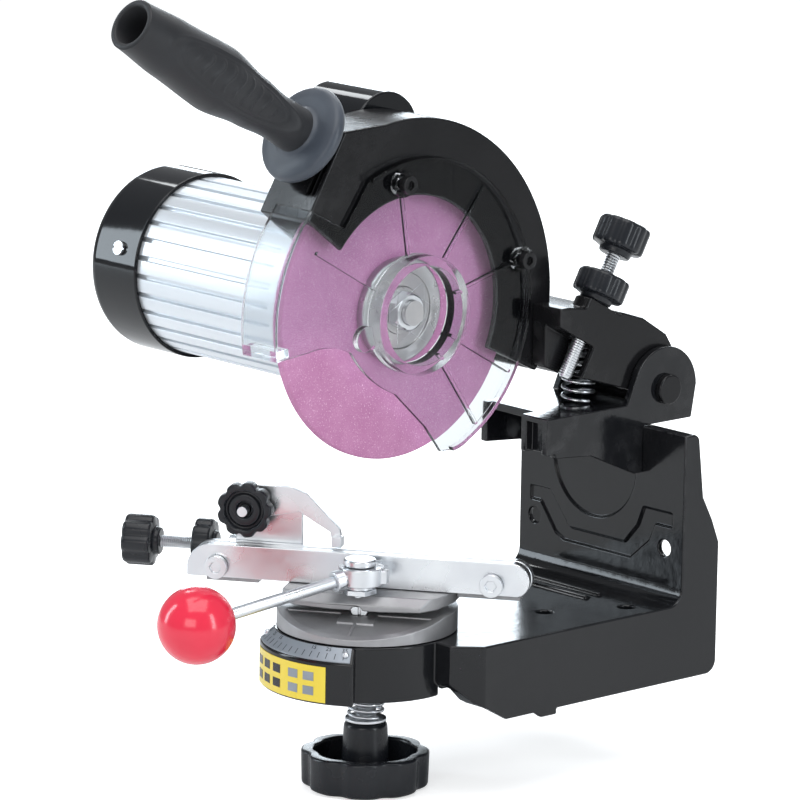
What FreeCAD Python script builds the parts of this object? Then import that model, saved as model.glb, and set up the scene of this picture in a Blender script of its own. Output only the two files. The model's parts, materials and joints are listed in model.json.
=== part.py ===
import FreeCAD, Part
import math
import os

# Bench chain grinder for saw chain. Millimetres.
# Pieces are drawn about the vise turning axis at bench level, then moved so that the
# origin is the middle of the rear pair of bench bolts, on the bench face.
# +X is the operator's right and the wheel axis, +Y points to the back wall, +Z is up.
# The head stands raised against its spring and the vise is turned to its right-hand mark.

# ---- base casting ----
base_left = -50.0
base_right = 66.0
base_front = 4.0
base_back = 172.0
floor_height = 38.0
wall_face_y = 147.0
wall_top = 122.0
wall_top_depth = 10.0
cast_wall = 3.0
seat_radius = 44.0
seat_bottom = 11.0
nose_radius = 51.5
nose_half_angle = 41.0
bevel_drop = 6.5
bevel_inner = 44.2
scale_thick = 0.5
hook_front = 48.0
hook_back = 64.0
hook_drop = 3.0
bench_hole = 8.0
bench_middle_x = 8.0
bench_front_y = 85.0
bench_front_spacing = 52.0
bench_rear_y = 123.0
bench_rear_spacing = 88.0
bench_boss = 8.5
wall_hole = 8.0
wall_hole_z = 64.0
wall_hole_spacing = 92.0
wall_hole_middle = 7.0
relief_depth = 1.2

# ---- vise ----
vise_turn = 35.0
seat_gap = 0.4
turntable_radius = 43.5
turntable_height = 10.0
turntable_slope_start = -14.0
turntable_rim = 2.6
recess_depth = 0.8
recess_radius = 39.0
vise_bolt = 10.0
running_gap = 0.05
tilt_gap = 2.6
tilt_pin = 6.0
tilt_axis_rise = 1.6
tilt_plate_height = 7.0
tilt_plate_half = 38.0
tilt_plate_front = -24.0
tilt_plate_back = 28.0
rail_height = 16.5
slide_gap = 0.35
rail_thick = 5.0
rail_left = -88.0
rail_right = 80.0
chain_gap = 1.8
rail_bolt = 6.0
rail_bolt_x = [-73.0, 62.0]
packer_height = 3.0
packer_spans = [(-80.0, -54.0), (43.6, 74.0)]
cam_radius = 11.0
cam_height = 8.5
cam_gap = 0.4
cam_throw = 0.8
cam_phase = -20.0
cam_post = 8.0
post_collar_across = 14.5
post_collar_round = 6.8
post_collar_step = 2.0
post_seat = 2.5
lever_angle = -136.0
lever_drop = 9.2
lever_length = 90.0
lever_rod = 5.8
ball_radius = 18.6

# ---- vise clamp under the nose ----
clamp_spring_radius = 8.2
clamp_spring_wire = 1.8
clamp_spring_length = 20.0
clamp_spring_turns = 5.0
handwheel_neck = 10.5
washer_gap = 0.4
washer_thick = 1.4
handwheel_neck_height = 14.0
handwheel_radius = 31.0
handwheel_height = 18.0
handwheel_lobes = 8
handwheel_wall = 6.5
handwheel_floor = 3.0

# ---- chain stop on the rear rail ----
stop_plate_thick = 3.0
stop_axis_z = 68.0
stop_screw = 6.0
stop_plate_x = (-67.0, -34.0)
pawl_hinge = (-60.0, 92.0)
pawl_thick = 3.0
pawl_tip_x = -13.0
stop_knob_radius = 12.5
stop_knob_depth = 14.0
adjust_knob_out = 44.0
adjust_lock_out = 12.0
pawl_knob_radius = 13.5
pawl_knob_depth = 9.0

# ---- head ----
wheel_y = 13.0
wheel_z = 191.5
wheel_diameter = 145.0
wheel_thick = 5.0
wheel_bore = 22.2
flange_radius = 25.5
flange_thick = 4.5
spindle_radius = 6.0
nut_across = 17.0
nut_height = 6.5
hood_radius = 93.0
hood_wall = 4.0
hood_back_x = -22.0
hood_front_x = 12.0
hood_web = 3.5
hood_lip = 3.0
lip_inner = 56.0
hood_start = -25.0
hood_straight = 100.0
lug_axis = 149.6
lug_face = 82.0
lug_thick = 5.0
lug_low = 11.0
lug_high = 57.0
lug_pocket_x = 3.6
shield_thick = 2.4
shield_radius = 75.0
shield_left_radius = 86.0
shield_left_depth = 22.0
shield_hole = 24.0
shield_ring = 28.7
shield_ring_height = 9.0
shield_screws = [(-8.8, 63.1), (69.2, 18.1)]
shield_post = (-31.3, -8.6)

# ---- motor ----
motor_radius = 44.0
motor_back_x = -140.0
motor_front_x = -30.0
motor_slots = 30
slot_width = 2.4
slot_depth = 2.2
slot_end_gap = 9.0
cap_radius = 46.0
cap_length = 33.0
cap_lip = 4.0
flange_ring_radius = 46.5

# ---- switch housing ----
switch_front_y = 8.0
switch_back_y = 50.0
switch_left_x = -66.0
switch_right_x = -24.0
switch_top = 291.0
rocker_width = 20.0
rocker_height = 13.0
rocker_gap = 0.7
gland_radius = 7.0

# ---- swing arm, bracket and depth stop ----
pivot_y = 162.0
pivot_z = 139.0
pivot_pin = 10.0
knuckle_radius = 12.0
arm_left = -12.0
arm_right = 32.0
arm_wall = 4.0
ear_gap = 0.6
ear_thick = 4.0
ear_radius = 21.0
shelf_top = 134.0
shelf_thick = 4.0
shelf_front = 90.0
bracket_foot = 99.0
stop_x = 27.0
stop_tilt = 29.2
stop_tip = (101.5, 150.6)
stop_rod = 7.0
stop_rod_length = 74.0
stop_window_side = 6.5
stop_window_front = 22.0
stop_window_top = 19.5
stop_window_low = 12.0
depth_knob_radius = 13.0
depth_knob_height = 14.0
lock_knob_height = 10.0
lug_rise = 24.0
spring_radius = 7.5
spring_wire = 2.0
spring_at = (14.0, 124.0)
spring_top = 168.0

# ---- handle ----
handle_x = -5.0
handle_foot = 49.0
handle_length = 130.0
collar_radius = 24.3
collar_thick = 9.0
grip_end_radius = 12.3
grip_bulge_radius = 16.4
grip_neck_radius = 11.2
grip_bore = 8.0
handle_bolt = 6.0
handle_bolt_across = 10.0

V = FreeCAD.Vector
UP = V(0, 0, 1)
ALONG_X = V(1, 0, 0)
ALONG_Y = V(0, 1, 0)
AXIS = V(0, 0, 0)
TINY = 0.01


# ---------------------------------------------------------------- helpers
def block(x_span, y_span, z_span):
    """Box between the given spans."""
    size = [x_span[1] - x_span[0], y_span[1] - y_span[0], z_span[1] - z_span[0]]
    return Part.makeBox(size[0], size[1], size[2], V(x_span[0], y_span[0], z_span[0]))


def rod(radius, start, direction, length):
    """Cylinder from a start point along a direction."""
    return Part.makeCylinder(radius, length, V(*start), V(*direction))


def ring(outer, inner, start, direction, length):
    """Hollow cylinder."""
    return rod(outer, start, direction, length).cut(rod(inner, start, direction, length))


def face_of(start, steps, place):
    """Face from a start point and steps; a step is an end point or a (middle, end) arc."""
    edges = []
    here = place(*start)
    for step in steps:
        if isinstance(step[0], tuple):
            middle = place(*step[0])
            end = place(*step[1])
            edges.append(Part.Arc(here, middle, end).toShape())
        else:
            end = place(*step)
            edges.append(Part.LineSegment(here, end).toShape())
        here = end
    first = place(*start)
    if here.distanceToPoint(first) > TINY:
        edges.append(Part.LineSegment(here, first).toShape())
    return Part.Face(Part.Wire(edges))


def prism_x(start, steps, x_span):
    """Outline in Y and Z, extruded along X."""
    face = face_of(start, steps, lambda y, z: V(x_span[0], y, z))
    return face.extrude(V(x_span[1] - x_span[0], 0, 0))


def prism_y(start, steps, y_span):
    """Outline in X and Z, extruded along Y."""
    face = face_of(start, steps, lambda x, z: V(x, y_span[0], z))
    return face.extrude(V(0, y_span[1] - y_span[0], 0))


def prism_z(start, steps, z_span):
    """Outline in X and Y, extruded up."""
    face = face_of(start, steps, lambda x, y: V(x, y, z_span[0]))
    return face.extrude(V(0, 0, z_span[1] - z_span[0]))


def polar(radius, degrees):
    """Point on a circle about the local origin."""
    turn = math.radians(degrees)
    return (radius * math.cos(turn), radius * math.sin(turn))


def around(radius, degrees):
    """Point in Y and Z on a circle about the wheel axis, 0 at the back and 90 at the top."""
    along, rise = polar(radius, degrees)
    return (wheel_y + along, wheel_z + rise)


def sector_x(outer, start_angle, end_angle, x_span):
    """Pie slice about the wheel axis."""
    middle_angle = (start_angle + end_angle) / 2.0
    steps = [around(outer, start_angle), (around(outer, middle_angle), around(outer, end_angle))]
    return prism_x((wheel_y, wheel_z), steps, x_span)


def wheel_rod(radius, x_span):
    """Cylinder on the wheel axis."""
    return rod(radius, (x_span[0], wheel_y, wheel_z), (1, 0, 0), x_span[1] - x_span[0])


def soften(shape, radius, pick):
    """Fillet the edges that a test picks."""
    edges = [edge for edge in shape.Edges if pick(edge)]
    if not edges:
        return shape
    return shape.makeFillet(radius, edges)


def hexagon(across, start, direction, length):
    """Hexagonal prism along a direction."""
    corner = across / math.sqrt(3.0)
    points = [V(corner * math.cos(math.radians(60 * i)), corner * math.sin(math.radians(60 * i)), 0)
              for i in range(7)]
    solid = Part.Face(Part.makePolygon(points)).extrude(V(0, 0, length))
    solid.Placement = FreeCAD.Placement(V(*start), FreeCAD.Rotation(UP, V(*direction)))
    return solid


def lobed_knob(radius, height, lobes, start, direction, dish=0.0):
    """Knob with scalloped rim and rounded ends, from its inner face along a direction."""
    knob = Part.makeCylinder(radius, height)
    knob = soften(knob, min(1.4, height / 4.0), lambda edge: edge.Curve.TypeId == "Part::GeomCircle")
    scallop = radius * 0.2
    for index in range(lobes):
        x, y = polar(radius + scallop * 0.62, 360.0 * (index + 0.5) / lobes)
        knob = knob.cut(rod(scallop, (x, y, -1), (0, 0, 1), height + 2))
    if dish > 0:
        knob = knob.cut(rod(radius * 0.62, (0, 0, height - dish), (0, 0, 1), dish + 1))
    knob.Placement = FreeCAD.Placement(V(*start), FreeCAD.Rotation(UP, V(*direction)))
    return knob


def coil(radius, wire, length, turns):
    """Closed compression spring standing on the local origin."""
    helix = Part.makeHelix(length / turns, length, radius)
    start = V(radius, 0, 0)
    circle = Part.Wire(Part.Circle(start, ALONG_Y, wire / 2.0).toShape())
    return Part.Wire(helix.Edges).makePipeShell([circle], True, True)


def turned(shape, degrees):
    """Copy turned about the vise axis."""
    copy = shape.copy()
    copy.rotate(AXIS, UP, degrees)
    return copy


def on_vise(shape):
    """Place a vise piece, drawn with its rails along X, at the turned rest position."""
    return turned(shape, vise_turn)


# ---------------------------------------------------------------- derived sizes
bench_holes = [(bench_middle_x + side * bench_front_spacing / 2.0, bench_front_y) for side in (-1, 1)]
bench_holes += [(bench_middle_x + side * bench_rear_spacing / 2.0, bench_rear_y) for side in (-1, 1)]
wall_holes = [(wall_hole_middle + side * wall_hole_spacing / 2.0, wall_hole_z) for side in (-1, 1)]
origin_move = V(-bench_middle_x, -bench_rear_y, 0)
seat_top = floor_height + seat_gap
table_top = seat_top + turntable_height
tilt_axis_z = table_top + tilt_axis_rise
plate_bottom = table_top + tilt_gap
plate_top = plate_bottom + tilt_plate_height
rail_bottom = plate_top
rail_top = rail_bottom + rail_height
rail_face = chain_gap / 2.0
rail_outer = rail_face + rail_thick
cam_offset = (cam_throw * math.cos(math.radians(cam_phase)), cam_throw * math.sin(math.radians(cam_phase)))
cam_y = -(rail_outer + cam_gap + cam_radius + cam_offset[1])
cam_bottom = plate_top + 5.0
cam_top = cam_bottom + cam_height
lever_z = cam_bottom + cam_height / 2.0
wheel_radius = wheel_diameter / 2.0
wheel_half = wheel_thick / 2.0
nose_edge_z = floor_height - bevel_drop
neck_top = seat_bottom - clamp_spring_length
neck_bottom = neck_top - handwheel_neck_height
handwheel_bottom = neck_bottom - handwheel_height


# ---------------------------------------------------------------- base
def nose_slice(radius, half_angle, z_span):
    """Slice of the seat circle that carries the angle scale."""
    left = polar(radius, -90.0 - half_angle)
    right = polar(radius, -90.0 + half_angle)
    return prism_z((0, 0), [left, ((0, -radius), right)], z_span)


def bevel_keep(lift):
    """Everything under the bevel of the nose, raised by a lift."""
    depth = floor_height - 1.0
    run = (nose_radius - bevel_inner) / bevel_drop
    return Part.makeCone(bevel_inner + run * depth, bevel_inner, depth, V(0, 0, 1.0 + lift), UP)


def base_body():
    """Outside of the base casting before it is hollowed."""
    back_low = base_back - 7.0
    wall_back = wall_face_y + wall_top_depth
    steps = [(back_low, 0), ((base_back - 2.0, 2.0), (base_back, 7.0)), (base_back, 66.0),
             (base_back - 5.0, 78.0), (wall_back + 3.5, 90.0), (wall_back, wall_top - 4.0),
             ((wall_back - 1.2, wall_top - 1.2), (wall_back - 4.0, wall_top)), (wall_face_y, wall_top),
             (wall_face_y, floor_height + 8.0),
             ((wall_face_y - 2.4, floor_height + 2.4), (wall_face_y - 8.0, floor_height)),
             (base_front, floor_height), (base_front, 19.0), (13.0, 10.0), (31.0, 0)]
    body = prism_x((31.0, 0), steps, (base_left, base_right))
    for x in (base_left, base_right):
        corner = 12.0
        inside = x + corner if x < 0 else x - corner
        trim = prism_z((x, base_front - 1), [(x, base_front + corner), (inside, base_front - 1)], (-1, 60))
        body = body.cut(trim)
    body = body.fuse(rod(seat_radius, (0, 0, seat_bottom), (0, 0, 1), floor_height - seat_bottom))
    nose = nose_slice(nose_radius, nose_half_angle, (seat_bottom, floor_height))
    body = body.fuse(nose.common(bevel_keep(0.0)))
    for x_span in ((base_left, base_left + cast_wall), (base_right - cast_wall, base_right)):
        hook = prism_x((hook_front, 1), [(hook_back, 1), (hook_back, -hook_drop),
                                         (hook_front + 6, -hook_drop)], x_span)
        body = body.fuse(hook)
    return body.removeSplitter()


def base_hollow():
    """Space inside the base casting, open below and behind."""
    left = base_left + cast_wall
    right = base_right - cast_wall
    roof = floor_height - cast_wall
    inner_wall = wall_face_y + cast_wall
    under = block((left, right), (base_front + 14.0, base_back - cast_wall), (-5, roof))
    front = block((left + 12, right - 12), (base_front + cast_wall, base_front + 14.5), (-5, roof))
    behind = block((left, right), (inner_wall, base_back + 5), (roof - 1, wall_top - cast_wall))
    seat = rod(seat_radius - cast_wall, (0, 0, 0), (0, 0, 1), roof)
    nose = nose_slice(nose_radius - cast_wall, nose_half_angle - 3.5, (0, nose_edge_z - cast_wall))
    return under.fuse([front, behind, seat, nose])


def wall_relief():
    """Shallow pressed panel and round dish on the front of the wall."""
    span = (wall_face_y - 1, wall_face_y + relief_depth)
    left = base_left + 8.0
    right = base_right - 8.0
    panel = prism_y((left, 72.0), [(-35.0, 72.0), (-24.0, 58.0), (-18.0, 55.0), (29.0, 55.0),
                                   (42.0, 66.0), (46.0, 75.0), (right, 75.0), (right, 82.0),
                                   (38.0, 82.0), (34.0, 72.0), (25.0, 62.0), (-14.0, 62.0),
                                   (-28.0, 79.0), (left, 79.0)], span)
    dish = rod(29.0, (3.0, wall_face_y - 1, 100.0), (0, 1, 0), relief_depth + 1)
    dish = dish.cut(block((-40, 60), (100, 200), (bracket_foot - 1, 140)))
    return panel.fuse(dish)


def make_base_frame():
    body = base_body().cut(base_hollow())
    roof = floor_height - cast_wall
    for x, y in bench_holes:
        body = body.fuse(rod(bench_boss, (x, y, 0), (0, 0, 1), roof + 1))
    body = body.fuse(rod(vise_bolt / 2.0 + 5.0, (0, 0, seat_bottom), (0, 0, 1), roof + 1 - seat_bottom))
    for x in (base_left + 40.0, base_right - 40.0):
        body = body.fuse(block((x - 1.5, x + 1.5), (base_front + 20, base_back - 1), (8.0, roof + 1)))
    body = body.cut(wall_relief())
    for y in (129.0, 120.0):
        rib = rod(2.2, (base_left + 2.0, y, floor_height - 0.8), (1, 0, 0), 76.0)
        body = body.fuse(rib.cut(block((-90, 90), (0, 200), (0, floor_height - 0.9))))
    for x, y in bench_holes:
        body = body.cut(rod(bench_hole / 2.0, (x, y, -5), (0, 0, 1), floor_height + 10))
    for x, z in wall_holes:
        body = body.cut(rod(wall_hole / 2.0, (x, wall_face_y - 5, z), (0, 1, 0), 30))
    body = body.cut(rod(vise_bolt / 2.0 + running_gap, (0, 0, -5), (0, 0, 1), floor_height + 10))
    for x, z in bracket_bolt_places():
        body = body.cut(rod(3.3, (x, wall_face_y - 5, z), (0, 1, 0), 20))
    return body.removeSplitter()


def scale_solid(thick):
    """Thin band lying on the bevel of the nose."""
    slope = bevel_drop / (nose_radius - bevel_inner)
    r0 = bevel_inner + 0.6
    r1 = nose_radius - 0.6
    z0 = floor_height - (r0 - bevel_inner) * slope
    z1 = floor_height - (r1 - bevel_inner) * slope
    corners = [V(r0, 0, z0), V(r1, 0, z1), V(r1, 0, z1 + thick), V(r0, 0, z0 + thick), V(r0, 0, z0)]
    profile = Part.makePolygon(corners)
    sweep = 2.0 * (nose_half_angle - 2.0)
    band = Part.Face(profile).revolve(AXIS, UP, sweep)
    return turned(band, -90.0 - sweep / 2.0)


def make_scale_plate():
    return scale_solid(scale_thick)


def make_scale_rivets():
    heads = []
    radius = (bevel_inner + nose_radius) / 2.0
    z = floor_height - bevel_drop / 2.0 + scale_thick
    for angle in (-nose_half_angle + 5.0, nose_half_angle - 5.0):
        x, y = polar(radius, -90.0 + angle)
        heads.append(Part.makeSphere(1.7, V(x, y, z)).cut(bevel_keep(scale_thick)))
    return Part.makeCompound(heads)


def make_nose_label():
    outer = nose_slice(nose_radius + 0.35, 30.0, (seat_bottom + 1.0, nose_edge_z - 2.0))
    inner = rod(nose_radius + TINY, (0, 0, 0), (0, 0, 1), 60)
    label = outer.cut(inner)
    return turned(label, -4.0)


# ---------------------------------------------------------------- vise
def make_turntable():
    table = rod(turntable_radius, (0, 0, seat_top), (0, 0, 1), turntable_height)
    low = seat_top + turntable_rim
    edge = -turntable_radius - 2.0
    wedge = prism_x((turntable_slope_start, table_top), [(edge, low), (edge, table_top + 5),
                                                         (turntable_slope_start, table_top + 5)], (-60, 60))
    table = table.cut(wedge)
    rise = table_top - low
    run = turntable_slope_start - edge
    drop = recess_depth
    start_y = turntable_slope_start - 2.5
    start_z = table_top - rise * 2.5 / run
    corners = [(edge, low - drop), (edge, low + 3), (start_y, start_z + 3)]
    recess = prism_x((start_y, start_z - drop), corners, (-60, 60))
    recess = recess.common(rod(recess_radius, (0, 0, 0), (0, 0, 1), 80))
    ridge = block((-0.7, 0.7), (-60, 0), (0, 80))
    wing = block((-9.0, 9.0), (turntable_slope_start - 12.0, 0), (0, 80))
    table = table.cut(recess.cut(ridge.fuse(wing.common(rod(14.0, (0, -18.0, 0), (0, 0, 1), 80)))))
    for y in (-14.0, 20.0):
        lug = rod(5.2, (0, y, tilt_axis_z), (0, 1, 0), 6.0)
        lug = lug.fuse(block((-5.2, 5.2), (y, y + 6.0), (table_top - 2, tilt_axis_z)))
        table = table.fuse(lug)
    table = table.cut(rod(6.0, (0, -7.7, tilt_axis_z), (0, 1, 0), 27.4))
    table = table.cut(rod(tilt_pin / 2.0 + running_gap, (0, -30, tilt_axis_z), (0, 1, 0), 80))
    table = table.cut(rod(4.6, (0, -18.2, tilt_axis_z), (0, 1, 0), 4.2))
    table = table.cut(rod(vise_bolt / 2.0, (0, 0, 0), (0, 0, 1), table_top - 9.0))
    return table.removeSplitter()


def make_vise_bolt():
    top = table_top - 9.0
    bottom = neck_top - handwheel_neck_height + 2.0
    return rod(vise_bolt / 2.0, (0, 0, bottom), (0, 0, 1), top - bottom)


def make_tilt_pin():
    pin = rod(tilt_pin / 2.0, (0, -14.5, tilt_axis_z), (0, 1, 0), 42.0)
    head = rod(4.2, (0, -17.5, tilt_axis_z), (0, 1, 0), 3.0)
    slot = block((-0.6, 0.6), (-18.0, -16.5), (tilt_axis_z - 6, tilt_axis_z + 6))
    return pin.fuse(head.cut(slot))


def make_tilt_plate():
    half = tilt_plate_half
    front = tilt_plate_front
    back = tilt_plate_back
    corner = 7.0
    steps = [(half - corner, front), (half, front + corner), (half + 5, 0), (half + 5, back - corner),
             (half + 5 - corner, back), (-half + corner, back),
             (-half, back - corner), (-half, front + corner)]
    plate = prism_z((-half + corner, front), steps, (plate_bottom, plate_top))
    lean = 4.0
    for side in (-1, 1):
        x = side * (half + 8)
        wedge = prism_y((side * 12.0, plate_bottom - 1), [(x, plate_bottom - 1), (x, plate_bottom + 1.6),
                                                          (side * 12.0, plate_bottom)], (-60, 60))
        plate = plate.cut(wedge)
    slope = [(front + lean + 1, plate_top + 1), (front - 1, plate_top + 1)]
    bevel = prism_x((front - 1, plate_bottom + 2.0), slope,
                    (-60, 60))
    plate = plate.cut(bevel)
    plate = plate.fuse(rod(5.2, (0, -7.2, tilt_axis_z), (0, 1, 0), 26.4))
    for y in (-18.5, 19.5):
        length = 11.0 if y < 0 else 7.0
        plate = plate.cut(rod(5.8, (0, y, tilt_axis_z), (0, 1, 0), length))
    plate = plate.cut(rod(tilt_pin / 2.0 + running_gap, (0, -30, tilt_axis_z), (0, 1, 0), 80))
    plate = plate.cut(rod(cam_post / 2.0, (0, cam_y, plate_top - post_seat), (0, 0, 1), 10))
    return plate.removeSplitter()


def rail_outline(y_span):
    """Rail plate with a raked left end and a rounded right end."""
    low = rail_bottom
    high = rail_top
    middle = (low + high) / 2.0
    steps = [(rail_right - 6.0, low), ((rail_right, middle), (rail_right - 10.0, high)),
             (rail_left + 11.0, high), ((rail_left + 3.0, high - 4.0), (rail_left, low + 4.0))]
    return prism_y((rail_left, low), steps, y_span)


def rail_bolt_holes(y_span):
    middle = (rail_bottom + rail_top) / 2.0 - 2.5
    return [rod(rail_bolt / 2.0, (x, y_span[0] - 1, middle), (0, 1, 0), y_span[1] - y_span[0] + 2)
            for x in rail_bolt_x]


def make_fixed_rail():
    span = (rail_face, rail_outer)
    rail = rail_outline(span)
    for hole in rail_bolt_holes(span):
        rail = rail.cut(hole)
    return rail


def make_moving_rail():
    span = (-rail_outer, -rail_face)
    rail = rail_outline(span)
    for x in rail_bolt_x:
        middle = (rail_bottom + rail_top) / 2.0 - 2.5
        rail = rail.cut(rod(rail_bolt / 2.0 + 0.5, (x, span[0] - 1, middle), (0, 1, 0), 20))
    gap = block((-200, 200), (-20, 0), (rail_bottom - 1, rail_bottom + slide_gap))
    return rail.cut(gap)


def make_rail_packers():
    blocks = []
    z_span = (rail_bottom - packer_height, rail_bottom)
    for x_span in packer_spans:
        blocks.append(block(x_span, (rail_face, rail_outer + 3.0), z_span))
    return Part.makeCompound(blocks)


def make_rail_bolts():
    bolts = []
    middle = (rail_bottom + rail_top) / 2.0 - 2.5
    for x in rail_bolt_x:
        shank = rod(rail_bolt / 2.0, (x, -rail_outer - 1.0, middle), (0, 1, 0), 2.0 * rail_outer + 1.0)
        head = rod(5.6, (x, -rail_outer - 4.0, middle), (0, 1, 0), 3.0)
        socket = hexagon(5.0, (x, -rail_outer - 4.5, middle), (0, 1, 0), 2.0)
        bolts.append(shank.fuse(head.cut(socket)))
    return Part.makeCompound(bolts)


def make_cam_post():
    foot = plate_top - post_seat
    post = rod(cam_post / 2.0, (0, cam_y, foot), (0, 0, 1), cam_top + 3.0 - foot)
    collar_height = cam_bottom - plate_top - cam_gap
    collar = hexagon(post_collar_across, (0, cam_y, plate_top), (0, 0, 1), collar_height - post_collar_step)
    step = rod(post_collar_round, (0, cam_y, plate_top), (0, 0, 1), collar_height)
    cap = rod(7.8, (0, cam_y, cam_top + 0.4), (0, 0, 1), 3.2)
    cap = soften(cap, 1.0, lambda edge: edge.BoundBox.ZMin > cam_top + 3.0 and edge.BoundBox.ZLength < 0.1)
    return post.fuse([collar, step, cap])


def lever_direction():
    along, across = polar(1.0, lever_angle)
    drop = math.sin(math.radians(lever_drop))
    level = math.cos(math.radians(lever_drop))
    return (along * level, across * level, -drop)


def lever_point(distance):
    direction = lever_direction()
    return (direction[0] * distance, cam_y + direction[1] * distance, lever_z + direction[2] * distance)


def make_clamp_cam():
    cam = rod(cam_radius, (cam_offset[0], cam_y + cam_offset[1], cam_bottom), (0, 0, 1), cam_height)
    lug_x = (cam_radius - 3.0, cam_radius + 3.0)
    lug = block(lug_x, (cam_y - 4.0, cam_y + 1.5), (cam_bottom + 1, cam_top - 1))
    socket = rod(lever_rod / 2.0 + 2.2, lever_point(cam_radius - 1.5), lever_direction(), 5.0)
    cam = cam.fuse([lug, socket])
    cam = cam.cut(rod(lever_rod / 2.0, lever_point(cam_radius - 5.0), lever_direction(), 30.0))
    return cam.cut(rod(cam_post / 2.0 + running_gap, (0, cam_y, cam_bottom - 5), (0, 0, 1), 30))


def make_clamp_lever():
    start = cam_radius - 5.0
    return rod(lever_rod / 2.0, lever_point(start), lever_direction(), lever_length - start - 8.0)


def make_clamp_ball():
    centre = lever_point(lever_length)
    ball = Part.makeSphere(ball_radius, V(*centre))
    mouth = lever_point(lever_length - ball_radius - 5.0)
    bore = rod(lever_rod / 2.0, mouth, lever_direction(), ball_radius + 5.0 - 8.0)
    return ball.cut(bore)


# ---------------------------------------------------------------- vise clamp below
def make_clamp_washer():
    bottom = (0, 0, neck_top + washer_gap)
    return ring(handwheel_neck - 0.5, vise_bolt / 2.0 + 0.4, bottom, (0, 0, 1), washer_thick)


def make_clamp_spring():
    bottom = neck_top + washer_gap + washer_thick + 0.1
    length = seat_bottom - bottom - clamp_spring_wire - 0.2
    spring = coil(clamp_spring_radius, clamp_spring_wire, length, clamp_spring_turns)
    spring.translate(V(0, 0, bottom + clamp_spring_wire / 2.0))
    return spring


def make_handwheel():
    """Deep cup with a lobed wall, open above, round a tall neck."""
    wheel = lobed_knob(handwheel_radius, handwheel_height, handwheel_lobes, (0, 0, neck_bottom), (0, 0, -1))
    neck = rod(handwheel_neck, (0, 0, neck_bottom - 1), (0, 0, 1), handwheel_neck_height + 1)
    wheel = wheel.fuse(neck)
    low = handwheel_bottom + handwheel_floor
    hollow = ring(handwheel_radius - handwheel_wall, handwheel_neck, (0, 0, low), (0, 0, 1), handwheel_height)
    wheel = wheel.cut(hollow)
    return wheel.cut(rod(vise_bolt / 2.0 + running_gap, (0, 0, neck_bottom + 1.9), (0, 0, 1), 40))


# ---------------------------------------------------------------- chain stop
stop_face = rail_outer
stop_axis_y = rail_outer + stop_knob_radius + 1.0
stop_back = rail_outer + stop_plate_thick


def make_stop_plate():
    """Upright plate on the rear rail with a side ear that carries the adjusting screw."""
    x0, x1 = stop_plate_x
    steps = [(x1, rail_bottom + 5.0), (x1, 96.0), (x1 - 4.0, 100.0), (x0 + 4.0, 100.0), (x0, 96.0)]
    plate = prism_y((x0, rail_bottom + 5.0), steps, (stop_face + 0.4, stop_back + 0.4))
    ear = block((x0, x0 + 3.0), (stop_face + 0.4, stop_axis_y + 6.5), (stop_axis_z - 8.0, stop_axis_z + 8.0))
    boss = rod(5.5, (x0 - 6.0, stop_axis_y, stop_axis_z), (1, 0, 0), 12.0)
    plate = plate.fuse([ear, boss])
    plate = plate.cut(rod(stop_screw / 2.0 + running_gap, (x0 - 20, stop_axis_y, stop_axis_z), (1, 0, 0), 40))
    hinge_x, hinge_z = pawl_hinge
    return plate.cut(rod(2.5, (hinge_x, stop_face - 5, hinge_z), (0, 1, 0), 30))


def make_stop_guide():
    """Nut block bolted to the back of the rear rail; the adjusting screw pushes the plate from it."""
    x1 = stop_plate_x[1]
    z_span = (max(stop_axis_z - 12.0, rail_bottom + 1.0), stop_axis_z + 6.0)
    guide = block((x1 + 5.0, x1 + 15.0), (stop_face, stop_axis_y + 6.5), z_span)
    return guide.cut(rod(stop_screw / 2.0 + running_gap, (x1, stop_axis_y, stop_axis_z), (1, 0, 0), 20))


def make_adjust_screw():
    x0 = stop_plate_x[0] - adjust_knob_out - 12.0
    x1 = stop_plate_x[1] + 18.0
    return rod(stop_screw / 2.0, (x0, stop_axis_y, stop_axis_z), (1, 0, 0), x1 - x0)


def make_adjust_knob():
    x0 = stop_plate_x[0] - adjust_knob_out
    knob = lobed_knob(stop_knob_radius, stop_knob_depth, 8, (x0, stop_axis_y, stop_axis_z), (-1, 0, 0))
    hub = ring(6.5, stop_screw / 2.0, (x0, stop_axis_y, stop_axis_z), (1, 0, 0), 3.5)
    knob = knob.cut(rod(stop_screw / 2.0, (x0 - 12.0, stop_axis_y, stop_axis_z), (1, 0, 0), 30))
    return knob.fuse(hub)


def make_adjust_lock():
    x0 = stop_plate_x[0] - adjust_lock_out
    knob = lobed_knob(stop_knob_radius, 11.0, 8, (x0, stop_axis_y, stop_axis_z), (-1, 0, 0))
    return knob.cut(rod(stop_screw / 2.0 + running_gap, (x0 - 20, stop_axis_y, stop_axis_z), (1, 0, 0), 40))


def make_pawl_arm():
    """Bent finger that drops behind a cutter: plate in front of the stop plate, tip over the groove."""
    hinge_x, hinge_z = pawl_hinge
    near = -pawl_thick + stop_face
    top = rail_top + 1.0
    steps = [(-40.0, 103.0), (-31.0, 100.0), (pawl_tip_x - 2.0, 84.0), (pawl_tip_x, top),
             (pawl_tip_x - 5.0, top), (pawl_tip_x - 6.5, 82.0), (-35.0, 91.0),
             (hinge_x - 7.0, 84.0), (hinge_x - 7.0, 100.0)]
    arm = prism_y((hinge_x - 3.0, 103.0), steps, (near, stop_face))
    tip = block((pawl_tip_x - 5.0, pawl_tip_x), (-0.7, stop_face - 0.5), (top, top + 5.0))
    arm = arm.fuse(tip)
    return arm.cut(rod(2.5 + running_gap, (hinge_x, -20, hinge_z), (0, 1, 0), 60))


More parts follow.
